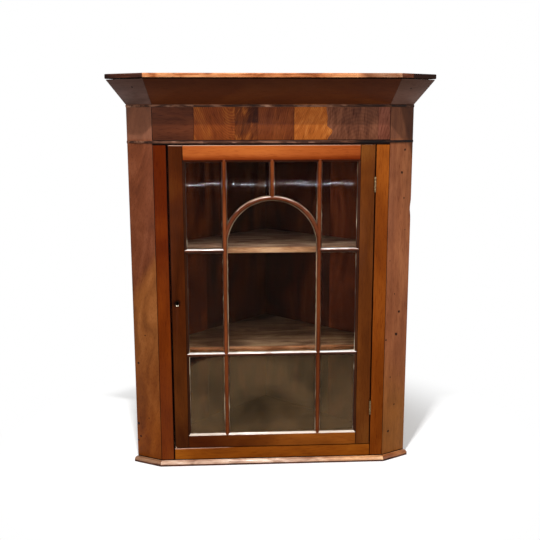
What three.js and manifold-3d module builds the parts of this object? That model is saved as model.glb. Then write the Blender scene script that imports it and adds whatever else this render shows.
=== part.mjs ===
// A hanging corner cupboard in mahogany with one astragal-glazed door.
// Millimetres, +Z up, the front faces -Y. The case is drawn with its front face on y = 0 and
// then moved, so that the origin lies under the middle of the whole object's box.
import * as THREE from 'three';
import * as BufferGeometryUtils from 'three/addons/utils/BufferGeometryUtils.js';
import Module from 'manifold-3d';

// Case: the splayed sides' run across and back, the height and the boards' thicknesses
const sideAcross = 69;
const sideBack = 37;
const overallHeight = 1040;
const capThickness = 12;
const faceThickness = 20;
const sideThickness = 18;
const wallThickness = 10;
const boardThickness = 14;
const seatGap = 0.3;
const cutOverrun = 5;

// Face frame and frieze
const doorwayHalf = 268.6;
const faceStileWidth = 34.4;
const railHeight = 46;
const friezeHeight = 161.5;
const stopLip = 6;

// Mouldings that wrap the case
const plinthHeight = 13.5;
const plinthOut = 12;
const plinthToe = 5;
const plinthTopStep = 2.5;
const lowerBeadLift = 3;
const beadHeight = 6.5;
const beadOut = 1.3;
const corniceOut = 51.5;
const corniceBoard = 11;
const corniceRise = 54;
const capOut = 60;
const capSeat = 24;

// Shelves. Each stands a little higher than the crossbars in front of it
const shelfThickness = 16;
const lowerShelfLift = 14.4;
const upperShelfLift = 6;
const shelfSetback = 28;
const shelfNosing = 3;

// Door
const doorSideGap = 2.4;
const doorEndGap = 2;
const doorThickness = 20;
const stileWidth = 37.5;
const topRailWidth = 37;
const bottomRailWidth = 34;
const mouldWidth = 6;
const mouldDepth = 8;
const mouldFillet = 1.4;
const mouldSegments = 4;

// Glazing bars and glass
const barHalf = 5.6;
const barRidgeHalf = 1.2;
const barDepth = 8;
const barSetback = 0.4;
const ribHalf = 1.5;
const ribBack = 18;
const outerLightWidth = 105.1;
const lowerBarRise = 227.6;
const archDrop = 222.5;
const archStilt = 14;
const archSteps = 40;
const archFeather = 1.4;
const glassThickness = 2;
const glassEdgeGap = 1;

// Hinges
const hingeLength = 38;
const upperHingeDrop = 101.9;
const lowerHingeRise = 105.6;
const knuckleRadius = 2.6;
const knuckleProud = 1.6;
const pinRadius = 1.2;
const pinClearance = 0.25;
const leafThickness = 0.9;
const leafDepth = 13;
const knuckleCount = 5;
const knuckleSides = 20;
const knuckleGap = 0.3;
const pinHead = 0.8;

// Lock
const keyholeInset = 15.2;
const keyholeRise = 407;
const keyRadius = 2.6;
const keySlotHalf = 1.5;
const keySlotFoot = 1.9;
const keySlotDrop = 8;
const escutcheonWall = 1.4;
const escutcheonDepth = 2.5;
const lockWidth = 34;
const lockHeight = 48;
const lockDepth = 9.5;
const lockWall = 1.2;
const lockEdgeGap = 1.4;
const boltHeight = 12;
const boltThickness = 5.4;
const boltLength = 26;
const boltTalonWidth = 6;
const boltTalonDepth = 4;
const strikeWidth = 14;
const strikeHeight = 30;
const strikeThickness = 1;

const wasm = await Module();
wasm.setup();

// Heights that follow the cap: the cornice board's top edge comes up under it
const capSole = overallHeight - capThickness;
const corniceLength = Math.hypot(corniceOut, corniceRise);
const corniceLift = (corniceBoard * corniceOut) / corniceLength;
const corniceFoot = capSole - seatGap - corniceLift - corniceRise;
const friezeFoot = capSole - friezeHeight;

// Door: the sight line is where a member's flat face ends and its moulding begins
const doorHalf = doorwayHalf - doorSideGap;
const doorFoot = railHeight + doorEndGap;
const doorHead = friezeFoot - doorEndGap;
const sightHalf = doorHalf - stileWidth;
const sightFoot = doorFoot + bottomRailWidth;
const sightHead = doorHead - topRailWidth;
const hingeAxis = [doorwayHalf - doorSideGap / 2, -knuckleProud];
const hingeHeights = { upper: doorHead - upperHingeDrop, lower: doorFoot + lowerHingeRise };
const keyholeAt = doorHalf - keyholeInset;
const keyholeHeight = doorFoot + keyholeRise;

// Glazing: the arch springs from the uprights, a little above the upper crossbars
const uprightAt = sightHalf - outerLightWidth;
const archSpring = sightHead - archDrop;
const upperBarHeight = archSpring - archStilt;
const lowerBarHeight = sightFoot + lowerBarRise;
const shelfHeights = {
  lower_shelf: lowerBarHeight + lowerShelfLift,
  upper_shelf: upperBarHeight + upperShelfLift,
};

// Plan geometry shared by every piece: the splay angle, the side's direction and the wall's line
const frontHalf = doorwayHalf + faceStileWidth;
const splay = Math.atan2(sideBack, sideAcross);
const caseHalf = frontHalf + sideAcross;
const wallSum = caseHalf + sideBack;
const wallRun = caseHalf * Math.SQRT2;

// The front corner of the case, moved outward by out on both of its faces
function frontCorner(out) {
  return [frontHalf + Math.tan(splay / 2) * out, -out];
}

// Where the side's face, moved outward by out, meets the wall's plane, moved inward by inset
function sideEnd(out, inset = 0) {
  const [x, y] = frontCorner(out);
  const run = (wallSum - inset * Math.SQRT2 - x - y) / (Math.cos(splay) + Math.sin(splay));
  return [x + run * Math.cos(splay), y + run * Math.sin(splay)];
}

// The side's face, moved outward by out, at depth y
function sideAtDepth(out, y) {
  const [x, y0] = frontCorner(out);
  return [x + (y - y0) / Math.tan(splay), y];
}

// A point on the wall, measured from the side's end towards the back corner
function alongWall(distance, inset) {
  const x = caseHalf - (distance + inset) / Math.SQRT2;
  return [x, wallSum - x - inset * Math.SQRT2];
}

const mirror = ([x, y]) => [-x, y];
const reflected = (plan) => plan.map(mirror).reverse();
const stations = {
  leftEnd: (out) => mirror(sideEnd(out)),
  leftCorner: (out) => mirror(frontCorner(out)),
  rightCorner: (out) => frontCorner(out),
  rightEnd: (out) => sideEnd(out),
};

function material(colour, roughness, metalness = 0) {
  return new THREE.MeshStandardMaterial({ color: colour, roughness, metalness });
}

const finishes = {
  darkMahogany: material(0x3a160c, 0.4),
  amberMahogany: material(0x8a4218, 0.38),
  redMahogany: material(0x5e2512, 0.4),
  carcase: material(0x4a2a17, 0.7),
  brass: material(0xb08d45, 0.35, 1),
  steel: material(0x6d6a66, 0.4, 1),
  glass: new THREE.MeshStandardMaterial({
    color: 0xdfe8e4, roughness: 0.05, metalness: 0, transparent: true, opacity: 0.3,
  }),
};

const cupboard = new THREE.Group();
cupboard.position.y = (capOut - wallSum) / 2;

function addPiece(name, geometry, finish) {
  const mesh = new THREE.Mesh(geometry, finish);
  mesh.name = name;
  cupboard.add(mesh);
  return mesh;
}

// Solids for boolean cuts
function toSolid(geometry) {
  const bare = geometry.clone();
  bare.deleteAttribute('normal');
  bare.deleteAttribute('uv');
  const merged = BufferGeometryUtils.mergeVertices(bare, 1e-4);
  return new wasm.Manifold(new wasm.Mesh({
    numProp: 3,
    vertProperties: Float32Array.from(merged.attributes.position.array),
    triVerts: Uint32Array.from(merged.index.array),
  }));
}

function toGeometry(solid) {
  const mesh = solid.getMesh();
  const geometry = new THREE.BufferGeometry();
  geometry.setAttribute('position', new THREE.BufferAttribute(Float32Array.from(mesh.vertProperties), 3));
  geometry.setIndex(new THREE.BufferAttribute(Uint32Array.from(mesh.triVerts), 1));
  geometry.computeVertexNormals();
  return geometry;
}

function cut(geometry, ...tools) {
  let solid = toSolid(geometry);
  for (const tool of tools) solid = solid.subtract(toSolid(tool));
  return toGeometry(solid);
}

function join(...geometries) {
  let solid = toSolid(geometries[0]);
  for (const geometry of geometries.slice(1)) solid = solid.add(toSolid(geometry));
  return toGeometry(solid);
}

function outline(points) {
  return new THREE.Shape(points.map(([x, y]) => new THREE.Vector2(x, y)));
}

// A plan outline, drawn anticlockwise, raised from z = foot to z = head
function standing(points, foot, head) {
  const geometry = new THREE.ExtrudeGeometry(outline(points), { depth: head - foot, bevelEnabled: false });
  return geometry.translate(0, 0, foot);
}

function block(x0, x1, y0, y1, z0, z1) {
  const geometry = new THREE.BoxGeometry(x1 - x0, y1 - y0, z1 - z0);
  return geometry.translate((x0 + x1) / 2, (y0 + y1) / 2, (z0 + z1) / 2);
}

// An elevation outline (x, z), given a thickness from y = near to y = far
function upright(shape, near, far) {
  const geometry = new THREE.ExtrudeGeometry(shape, {
    depth: far - near, bevelEnabled: false, curveSegments: archSteps,
  });
  return geometry.rotateX(Math.PI / 2).translate(0, far, 0);
}

// A moulding of section (out, z) run past the given stations with a mitre at each of them
function runMoulding(section, ...posts) {
  const spans = posts.length - 1;
  const geometry = new THREE.ExtrudeGeometry(outline(section), {
    depth: spans, steps: spans, bevelEnabled: false,
  });
  const place = geometry.attributes.position;
  for (let i = 0; i < place.count; i += 1) {
    const out = place.getX(i);
    const [x, y] = posts[Math.round(place.getZ(i))](out);
    place.setXYZ(i, x, y, place.getY(i));
  }
  return geometry;
}

// Carcase
function insideOutline(front, clearance) {
  const side = -sideThickness - clearance;
  const wall = wallThickness + clearance;
  const back = [0, wallSum - wall * Math.SQRT2];
  const nearRight = sideAtDepth(side, front);
  const farRight = sideEnd(side, wall);
  return [mirror(nearRight), nearRight, farRight, back, mirror(farRight)];
}

// Each wall is two upright boards between the side and the corner, where the left wall's laps the right's
function buildWalls() {
  const near = (wallRun - seatGap) / 2;
  const far = (wallRun + seatGap) / 2;
  const start = -sideThickness - seatGap;
  const front = [
    sideEnd(start), alongWall(near, 0), alongWall(near, wallThickness), sideEnd(start, wallThickness),
  ];
  const rear = (end) => [
    alongWall(far, 0), alongWall(end, 0), alongWall(end, wallThickness), alongWall(far, wallThickness),
  ];
  const plans = {
    right_wall_front_board: front,
    right_wall_rear_board: rear(wallRun - wallThickness - seatGap),
    left_wall_front_board: reflected(front),
    left_wall_rear_board: reflected(rear(wallRun)),
  };
  for (const [name, plan] of Object.entries(plans)) {
    addPiece(name, standing(plan, 0, capSole), finishes.carcase);
  }
}

function buildBoards() {
  const floorTop = railHeight + stopLip;
  const behindFace = insideOutline(faceThickness + seatGap, seatGap);
  addPiece('bottom_board', standing(behindFace, floorTop - boardThickness, floorTop), finishes.carcase);
  addPiece('top_board', standing(behindFace, capSole - boardThickness, capSole), finishes.carcase);
  for (const [name, height] of Object.entries(shelfHeights)) {
    const board = standing(insideOutline(shelfSetback, seatGap), height - shelfThickness, height);
    const arris = Math.hypot(shelfNosing, shelfNosing);
    const chamfer = new THREE.BoxGeometry(caseHalf * 2, arris, arris).rotateX(Math.PI / 4);
    const top = chamfer.clone().translate(0, shelfSetback, height);
    const under = chamfer.clone().translate(0, shelfSetback, height - shelfThickness);
    addPiece(name, cut(board, top, under), finishes.carcase);
  }
}

// The splayed sides run from the face's mitre to the wall's plane
function buildSides() {
  const past = ([x, y]) => [x + seatGap * Math.cos(splay), y + seatGap * Math.sin(splay)];
  const plan = [
    past(frontCorner(0)), sideEnd(0), sideEnd(-sideThickness), past(frontCorner(-sideThickness)),
  ];
  addPiece('right_splayed_side', standing(plan, 0, capSole), finishes.redMahogany);
  addPiece('left_splayed_side', standing(reflected(plan), 0, capSole), finishes.redMahogany);
}

// Face frame: two stiles mitred to the splayed sides, a bottom rail, and the frieze as the top rail.
// Behind the side's own thickness, a face board's mitre goes on as a square end
function faceCorner() {
  const inner = frontCorner(-sideThickness);
  return [frontCorner(0), inner, [inner[0], faceThickness]];
}

function hingeRecess(height, door) {
  const edge = door ? doorHalf : doorwayHalf;
  const depth = leafThickness + seatGap;
  const [x0, x1] = door ? [edge - depth, edge + cutOverrun] : [edge - cutOverrun, edge + depth];
  const half = hingeLength / 2 + seatGap;
  const leaf = block(x0, x1, -cutOverrun, leafDepth + seatGap, height - half, height + half);
  const round = new THREE.CylinderGeometry(
    knuckleRadius + seatGap, knuckleRadius + seatGap, half * 2, knuckleSides,
  ).rotateX(Math.PI / 2).translate(...hingeAxis, height);
  return [leaf, round];
}

function buildFaceFrame() {
  const [corner, inner, back] = faceCorner();
  const plan = [[doorwayHalf, 0], corner, inner, back, [doorwayHalf, faceThickness]];
  const recesses = Object.values(hingeHeights).flatMap((height) => hingeRecess(height, false));
  addPiece('right_face_stile', cut(standing(plan, 0, friezeFoot), ...recesses), finishes.amberMahogany);
  addPiece('left_face_stile', standing(reflected(plan), 0, friezeFoot), finishes.redMahogany);
  const rail = block(-doorwayHalf, doorwayHalf, 0, faceThickness, 0, railHeight);
  addPiece('face_bottom_rail', rail, finishes.amberMahogany);
  const frieze = [mirror(corner), corner, inner, back, mirror(back), mirror(inner)];
  addPiece('frieze', standing(frieze, friezeFoot, capSole), finishes.darkMahogany);
}

function quarterRound(centre, radius, from, to, steps) {
  const points = [];
  for (let i = 0; i <= steps; i += 1) {
    const angle = from + ((to - from) * i) / steps;
    points.push([centre[0] + radius * Math.cos(angle), centre[1] + radius * Math.sin(angle)]);
  }
  return points;
}

// Sections are drawn anticlockwise in (out, z)
function plinthSection() {
  const round = plinthHeight - plinthToe;
  const nose = quarterRound([plinthOut - round, plinthToe], round, 0, Math.PI / 2, mouldSegments * 2);
  const step = nose.filter(([, z]) => z < plinthHeight - plinthTopStep / mouldSegments);
  return [[seatGap, 0], [plinthOut, 0], ...step, [plinthTopStep, plinthHeight], [seatGap, plinthHeight]];
}

function beadSection(foot) {
  const radius = beadOut;
  const head = foot + beadHeight;
  return [
    ...quarterRound([seatGap, foot + radius], radius, -Math.PI / 2, 0, mouldSegments),
    ...quarterRound([seatGap, head - radius], radius, 0, Math.PI / 2, mouldSegments),
  ];
}

// The cornice is a flat board, set raking out from the frieze and cut square along its top edge
function corniceSection() {
  const lip = [corniceOut, corniceFoot + corniceRise];
  const inner = [lip[0] - (corniceBoard * corniceRise) / corniceLength, lip[1] + corniceLift];
  const toe = [seatGap, corniceFoot + (corniceRise * seatGap) / corniceOut];
  const heel = [seatGap, toe[1] + (corniceBoard * corniceLength) / corniceOut];
  return [toe, lip, inner, heel];
}

function capSection() {
  const arris = capThickness / 8;
  return [
    [-capSeat, capSole], [capOut - arris, capSole], [capOut, capSole + arris],
    [capOut, overallHeight - arris], [capOut - arris, overallHeight], [-capSeat, overallHeight],
  ];
}

function buildMouldings() {
  const { leftEnd, leftCorner, rightCorner, rightEnd } = stations;
  const runs = {
    front: [rightCorner, leftCorner],
    left: [leftCorner, leftEnd],
    right: [rightEnd, rightCorner],
  };
  for (const [side, posts] of Object.entries(runs)) {
    addPiece(`${side}_plinth_moulding`, runMoulding(plinthSection(), ...posts), finishes.amberMahogany);
    addPiece(`${side}_cornice_board`, runMoulding(corniceSection(), ...posts), finishes.darkMahogany);
    addPiece(`${side}_cap_board`, runMoulding(capSection(), ...posts), finishes.amberMahogany);
  }
  const wrap = [rightEnd, rightCorner, leftCorner, leftEnd];
  const lowerSection = beadSection(friezeFoot + lowerBeadLift);
  const upperSection = beadSection(corniceFoot - beadHeight);
  addPiece('lower_bead', runMoulding(lowerSection, ...wrap), finishes.darkMahogany);
  addPiece('upper_bead', runMoulding(upperSection, ...wrap), finishes.darkMahogany);
}

// Door frame
// The ovolo along a member's inner edge, as (inward, depth) from the sight line
function ovoloSection(reach, depth) {
  const run = reach;
  const fall = depth - mouldFillet * 2;
  const curve = [];
  for (let i = 0; i <= mouldSegments; i += 1) {
    const angle = (Math.PI / 2) * (i / mouldSegments);
    curve.push([run * Math.sin(angle), mouldFillet + fall * (1 - Math.cos(angle))]);
  }
  return [[0, depth], [0, 0], ...curve, [reach, depth]];
}

// Turns an extruded (inward, depth) section into elevation, one end of the extrusion at each corner
function mapElevation(geometry, corner) {
  const place = geometry.attributes.position;
  for (let i = 0; i < place.count; i += 1) {
    const [x, z] = corner(place.getX(i), Math.round(place.getZ(i)));
    place.setXYZ(i, x, place.getY(i), z);
  }
  return geometry;
}

// The moulding of one frame member, mitred at both ends of the sight line. Its root lies in the member
function sightMoulding(side) {
  const root = -mouldFillet;
  const [, ...face] = ovoloSection(mouldWidth, mouldDepth);
  const section = outline([[root, mouldDepth], [root, 0], ...face]);
  const geometry = new THREE.ExtrudeGeometry(section, { depth: 1, bevelEnabled: false });
  const past = (k) => Math.max(k, 0);
  const corners = {
    left: (k, t) => [-sightHalf + k, t ? sightHead - past(k) : sightFoot + past(k)],
    right: (k, t) => [sightHalf - k, t ? sightFoot + past(k) : sightHead - past(k)],
    top: (k, t) => [t ? sightHalf - past(k) : -sightHalf + past(k), sightHead - k],
    bottom: (k, t) => [t ? -sightHalf + past(k) : sightHalf - past(k), sightFoot + k],
  };
  return mapElevation(geometry, corners[side]);
}

function keyholeOutline(radius, slotHalf, footHalf, drop) {
  const shape = new THREE.Shape();
  const start = Math.asin(Math.min(1, slotHalf / radius));
  const from = -Math.PI / 2 + start;
  shape.absarc(0, 0, radius, from, from + Math.PI * 2 - start * 2, false);
  shape.lineTo(-footHalf, -drop);
  shape.lineTo(footHalf, -drop);
  shape.closePath();
  return shape;
}

function keyholeTool(grow, near, far) {
  const shape = keyholeOutline(keyRadius + grow, keySlotHalf + grow, keySlotFoot + grow, keySlotDrop + grow);
  const geometry = new THREE.ExtrudeGeometry(shape, {
    depth: far - near, bevelEnabled: false, curveSegments: mouldSegments * 5,
  });
  return geometry.rotateX(Math.PI / 2).translate(-keyholeAt, far, keyholeHeight);
}

function doorMember(side, body) {
  return join(body, sightMoulding(side));
}

function buildDoorFrame() {
  const leftBody = block(-doorHalf, -sightHalf, 0, doorThickness, doorFoot, doorHead);
  const rightBody = block(sightHalf, doorHalf, 0, doorThickness, doorFoot, doorHead);
  const recesses = Object.values(hingeHeights).flatMap((height) => hingeRecess(height, true));
  const left = cut(
    doorMember('left', leftBody),
    keyholeTool(0, -cutOverrun, doorThickness + cutOverrun),
    keyholeTool(escutcheonWall + seatGap, -cutOverrun, escutcheonDepth + seatGap),
  );
  addPiece('door_left_stile', left, finishes.darkMahogany);
  addPiece('door_right_stile', cut(doorMember('right', rightBody), ...recesses), finishes.darkMahogany);
  const top = block(-sightHalf, sightHalf, 0, doorThickness, sightHead, doorHead);
  const bottom = block(-sightHalf, sightHalf, 0, doorThickness, doorFoot, sightFoot);
  addPiece('door_top_rail', doorMember('top', top), finishes.amberMahogany);
  addPiece('door_bottom_rail', doorMember('bottom', bottom), finishes.redMahogany);
}

// Glazing bars: a moulded nose in front and a rib behind it that parts the panes.
// A bar that meets another is scribed over it, so it is cut by that bar made larger by the seat gap
function barSection(grow) {
  const half = barHalf + grow;
  const ridge = barRidgeHalf + grow;
  const near = barSetback - grow;
  const far = barDepth + grow;
  const rib = ribHalf + grow;
  const side = [];
  for (let i = 0; i <= mouldSegments; i += 1) {
    const angle = (Math.PI / 2) * (i / mouldSegments);
    const run = half - ridge;
    const fall = far - mouldFillet - near;
    side.push([ridge + run * Math.sin(angle), near + fall * (1 - Math.cos(angle))]);
  }
  const right = [...side, [half, far], [rib, far], [rib, ribBack + grow]];
  const left = right.map(([x, y]) => [-x, y]).reverse();
  return outline([...right, ...left].reverse());
}

// A straight bar from one point of the elevation (x, z) to another
function straightBar(from, to, grow = 0) {
  const run = new THREE.Vector3(to[0] - from[0], 0, to[1] - from[1]);
  const geometry = new THREE.ExtrudeGeometry(barSection(grow), { depth: run.length(), bevelEnabled: false });
  const along = run.clone().normalize();
  const depth = new THREE.Vector3(0, 1, 0);
  const across = new THREE.Vector3().crossVectors(depth, along);
  const turn = new THREE.Matrix4().makeBasis(across, depth, along);
  return geometry.applyMatrix4(turn).translate(from[0], 0, from[1]);
}

class ArchLine extends THREE.Curve {
  getPoint(t, target = new THREE.Vector3()) {
    const angle = Math.PI * t;
    return target.set(-uprightAt * Math.cos(angle), 0, archSpring + uprightAt * Math.sin(angle));
  }
}

// The arch's section is swept by hand, so that its nose stays square to the glass all the way round
function archBar(grow = 0) {
  const geometry = new THREE.ExtrudeGeometry(barSection(grow), {
    depth: 1, steps: archSteps, bevelEnabled: false,
  });
  const line = new ArchLine();
  const place = geometry.attributes.position;
  for (let i = 0; i < place.count; i += 1) {
    const t = place.getZ(i);
    const point = line.getPoint(t);
    const angle = Math.PI * t;
    const inward = place.getX(i);
    place.setXYZ(i, point.x + inward * Math.cos(angle), place.getY(i), point.z - inward * Math.sin(angle));
  }
  return geometry;
}

// The frame member on one side as a cutting tool, larger than the member by the seat gap
function sightTool(side) {
  const far = doorThickness + cutOverrun;
  const curve = ovoloSection(mouldWidth, mouldDepth).slice(2);
  const nose = curve.map(([k, depth]) => [k + seatGap, depth - seatGap]);
  const section = outline([
    [-stileWidth, -seatGap], [0, -seatGap], ...nose, [mouldWidth + seatGap, mouldDepth + seatGap],
    [seatGap, mouldDepth + seatGap], [seatGap, far], [-stileWidth, far],
  ]);
  const geometry = new THREE.ExtrudeGeometry(section, { depth: 1, bevelEnabled: false });
  const ends = {
    left: (k, t) => [-sightHalf + k, t ? doorHead : doorFoot],
    right: (k, t) => [sightHalf - k, t ? doorFoot : doorHead],
    top: (k, t) => [t ? doorHalf : -doorHalf, sightHead - k],
    bottom: (k, t) => [t ? -doorHalf : doorHalf, sightFoot + k],
  };
  return mapElevation(geometry, ends[side]);
}

function addBar(name, from, to, ...tools) {
  addPiece(name, cut(straightBar(from, to), ...tools), finishes.redMahogany);
}

function buildBars() {
  const [left, right] = [-uprightAt, uprightAt];
  const crown = archSpring + uprightAt;
  const leftTool = straightBar([left, sightFoot], [left, sightHead], seatGap);
  const rightTool = straightBar([right, sightFoot], [right, sightHead], seatGap);
  const ends = [sightTool('top'), sightTool('bottom')];
  addBar('left_upright_bar', [left, sightFoot], [left, sightHead], ...ends);
  addBar('right_upright_bar', [right, sightFoot], [right, sightHead], ...ends);
  addBar('centre_bar', [0, crown], [0, sightHead], sightTool('top'), archBar(seatGap));
  // The arch runs out against the uprights, and stops where its edge has thinned to a feather
  const inner = uprightAt - barHalf;
  const rise = inner * Math.sin(Math.acos((inner - seatGap - archFeather) / inner));
  const below = block(-doorHalf, doorHalf, -cutOverrun, doorThickness, doorFoot, archSpring + rise);
  addPiece('arch_bar', cut(archBar(), leftTool, rightTool, below), finishes.redMahogany);
  for (const [level, height] of [['upper', upperBarHeight], ['lower', lowerBarHeight]]) {
    addBar(`${level}_left_crossbar`, [-sightHalf, height], [left, height], sightTool('left'), leftTool);
    addBar(`${level}_right_crossbar`, [right, height], [sightHalf, height], sightTool('right'), rightTool);
  }
  addBar('lower_centre_crossbar', [left, lowerBarHeight], [right, lowerBarHeight], leftTool, rightTool);
}

// Glass: each pane lies in its rebates with a working gap round its edge
function addPane(name, shape) {
  const near = barDepth + seatGap;
  addPiece(name, upright(shape, near, near + glassThickness), finishes.glass);
}

function paneBox(x0, x1, z0, z1) {
  return outline([[x0, z0], [x1, z0], [x1, z1], [x0, z1]]);
}

function spandrelShape(sign) {
  const rib = ribHalf + glassEdgeGap;
  const radius = uprightAt + rib;
  const top = sightHead - glassEdgeGap;
  const from = Math.acos((uprightAt - rib) / radius);
  const to = Math.acos(rib / radius);
  const arc = quarterRound([0, archSpring], radius, from, to, archSteps / 2);
  const points = [...arc, [rib, top], [uprightAt - rib, top]];
  return outline(points.map(([x, z]) => [sign * x, z]));
}

function archPaneShape() {
  const rib = ribHalf + glassEdgeGap;
  const half = uprightAt - rib;
  const arc = quarterRound([0, archSpring], half, 0, Math.PI, archSteps);
  return outline([[-half, lowerBarHeight + rib], [half, lowerBarHeight + rib], ...arc]);
}

function buildPanes() {
  const rib = ribHalf + glassEdgeGap;
  const edge = sightHalf - glassEdgeGap;
  const side = uprightAt + rib;
  const rows = {
    top: [upperBarHeight + rib, sightHead - glassEdgeGap],
    middle: [lowerBarHeight + rib, upperBarHeight - rib],
    bottom: [sightFoot + glassEdgeGap, lowerBarHeight - rib],
  };
  for (const [row, [foot, head]] of Object.entries(rows)) {
    addPane(`${row}_left_pane`, paneBox(-edge, -side, foot, head));
    addPane(`${row}_right_pane`, paneBox(side, edge, foot, head));
  }
  addPane('bottom_centre_pane', paneBox(rib - uprightAt, uprightAt - rib, ...rows.bottom));
  addPane('arch_pane', archPaneShape());
  addPane('left_spandrel_pane', spandrelShape(-1));
  addPane('right_spandrel_pane', spandrelShape(1));
}

// Hinges: two leaves with interleaved knuckles on a loose pin
function hingeCylinder(radius, foot, head) {
  const geometry = new THREE.CylinderGeometry(radius, radius, head - foot, knuckleSides);
  return geometry.rotateX(Math.PI / 2).translate(...hingeAxis, (foot + head) / 2);
}

function knuckleSpans(height, parity) {
  const pitch = (hingeLength + knuckleGap) / knuckleCount;
  const spans = [];
  for (let i = parity; i < knuckleCount; i += 2) {
    const foot = height - hingeLength / 2 + i * pitch;
    spans.push([foot, foot + pitch - knuckleGap]);
  }
  return spans;
}

function hingeLeaf(height, door) {
  const edge = door ? doorHalf : doorwayHalf;
  const span = door ? [edge - leafThickness, edge] : [edge, edge + leafThickness];
  const half = hingeLength / 2;
  const plate = block(...span, hingeAxis[1], leafDepth, height - half, height + half);
  const own = knuckleSpans(height, door ? 1 : 0);
  const other = knuckleSpans(height, door ? 0 : 1);
  const whole = join(plate, ...own.map(([foot, head]) => hingeCylinder(knuckleRadius, foot, head)));
  const clear = other.map(([foot, head]) => (
    hingeCylinder(knuckleRadius + seatGap, foot - knuckleGap, head + knuckleGap)
  ));
  const boreHalf = half + cutOverrun;
  const bore = hingeCylinder(pinRadius + pinClearance, height - boreHalf, height + boreHalf);
  return cut(whole, ...clear, bore);
}

function hingePin(height) {
  const half = hingeLength / 2 + knuckleGap;
  const head = (pinRadius + knuckleRadius) / 2;
  const profile = [
    [0, -half - pinHead], [head, -half - pinHead], [head, -half], [pinRadius, -half],
    [pinRadius, half], [head, half], [head, half + pinHead], [0, half + pinHead],
  ].map(([x, y]) => new THREE.Vector2(x, y));
  return new THREE.LatheGeometry(profile, knuckleSides).rotateX(Math.PI / 2).translate(...hingeAxis, height);
}

function buildHinges() {
  for (const [place, height] of Object.entries(hingeHeights)) {
    addPiece(`${place}_hinge_frame_leaf`, hingeLeaf(height, false), finishes.brass);
    addPiece(`${place}_hinge_door_leaf`, hingeLeaf(height, true), finishes.brass);
    addPiece(`${place}_hinge_pin`, hingePin(height), finishes.brass);
  }
}

// Lock: a tray screwed to the back of the stile, with the bolt in a slot above the keyhole
function buildLock() {
  const edge = -doorHalf + lockEdgeGap;
  const half = lockHeight / 2;
  const [low, high] = [keyholeHeight - half, keyholeHeight + half];
  const back = doorThickness + lockDepth;
  const boltNear = doorThickness + (lockDepth - lockWall - boltThickness) / 2;
  const boltFoot = keyholeHeight + keyRadius;
  const boltHead = boltFoot + boltHeight;
  const tray = block(edge, edge + lockWidth, doorThickness, back, low, high);
  const hollow = block(
    edge + lockWall, edge + lockWidth - lockWall, doorThickness - cutOverrun, back - lockWall,
    low + lockWall, high - lockWall,
  );
  const slot = block(
    edge - cutOverrun, edge + cutOverrun, boltNear - seatGap, boltNear + boltThickness + seatGap,
    boltFoot - seatGap, boltHead + seatGap,
  );
  addPiece('lock_case', cut(tray, hollow, slot), finishes.steel);
  const bar = block(edge, edge + boltLength, boltNear, boltNear + boltThickness, boltFoot, boltHead);
  const talonHalf = boltTalonWidth / 2;
  const talon = block(
    -keyholeAt - talonHalf, -keyholeAt + talonHalf, boltNear - cutOverrun, back + cutOverrun,
    boltFoot - cutOverrun, boltFoot + boltTalonDepth,
  );
  addPiece('lock_bolt', cut(bar, talon), finishes.brass);
  const middle = (boltFoot + boltHead) / 2;
  const plate = block(
    -doorwayHalf - strikeWidth, -doorwayHalf, faceThickness, faceThickness + strikeThickness,
    middle - strikeHeight / 2, middle + strikeHeight / 2,
  );
  addPiece('strike_plate', plate, finishes.brass);
  const lining = keyholeTool(escutcheonWall, 0, escutcheonDepth);
  const ring = cut(lining, keyholeTool(0, -cutOverrun, doorThickness));
  addPiece('escutcheon', ring, finishes.brass);
}

buildWalls();
buildBoards();
buildSides();
buildFaceFrame();
buildMouldings();
buildDoorFrame();
buildBars();
buildPanes();
buildHinges();
buildLock();

export default cupboard;
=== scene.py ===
import math

import bmesh
import bpy
from mathutils import Matrix, Vector, noise


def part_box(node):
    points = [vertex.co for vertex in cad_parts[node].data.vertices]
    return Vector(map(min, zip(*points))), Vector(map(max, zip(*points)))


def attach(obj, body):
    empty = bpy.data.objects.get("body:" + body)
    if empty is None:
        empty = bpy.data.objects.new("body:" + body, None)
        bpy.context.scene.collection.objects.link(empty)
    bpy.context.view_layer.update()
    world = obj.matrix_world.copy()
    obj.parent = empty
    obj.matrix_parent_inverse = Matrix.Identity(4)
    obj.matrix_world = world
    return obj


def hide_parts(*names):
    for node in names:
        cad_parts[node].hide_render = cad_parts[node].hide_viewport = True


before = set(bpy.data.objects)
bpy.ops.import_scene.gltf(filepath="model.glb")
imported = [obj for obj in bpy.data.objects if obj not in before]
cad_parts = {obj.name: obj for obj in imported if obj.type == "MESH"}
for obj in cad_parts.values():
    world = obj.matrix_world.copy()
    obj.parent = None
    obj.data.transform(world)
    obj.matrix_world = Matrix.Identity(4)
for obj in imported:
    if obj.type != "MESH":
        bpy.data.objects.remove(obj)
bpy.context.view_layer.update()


# Back boards. Each wall of the corner is closed by two upright boards of pine, nailed on from
# behind. Inside they were stained brown to match the case, and behind they stayed dry and rough.
BACK_BOARD_ARRIS = 0.0012
BACK_BOARD_THICKNESS = 0.010
# The joint between the two boards of a wall is this far from the middle of the case
BOARD_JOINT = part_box("right_wall_front_board")[0][0] + 0.004
# The plane of the face frame's front along y, and how far behind it the two walls meet
FACE_FRONT = -0.1745
CORNER_DEPTH = 0.409
WALL_PLANE = (CORNER_DEPTH + FACE_FRONT) / math.sqrt(2)
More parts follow.
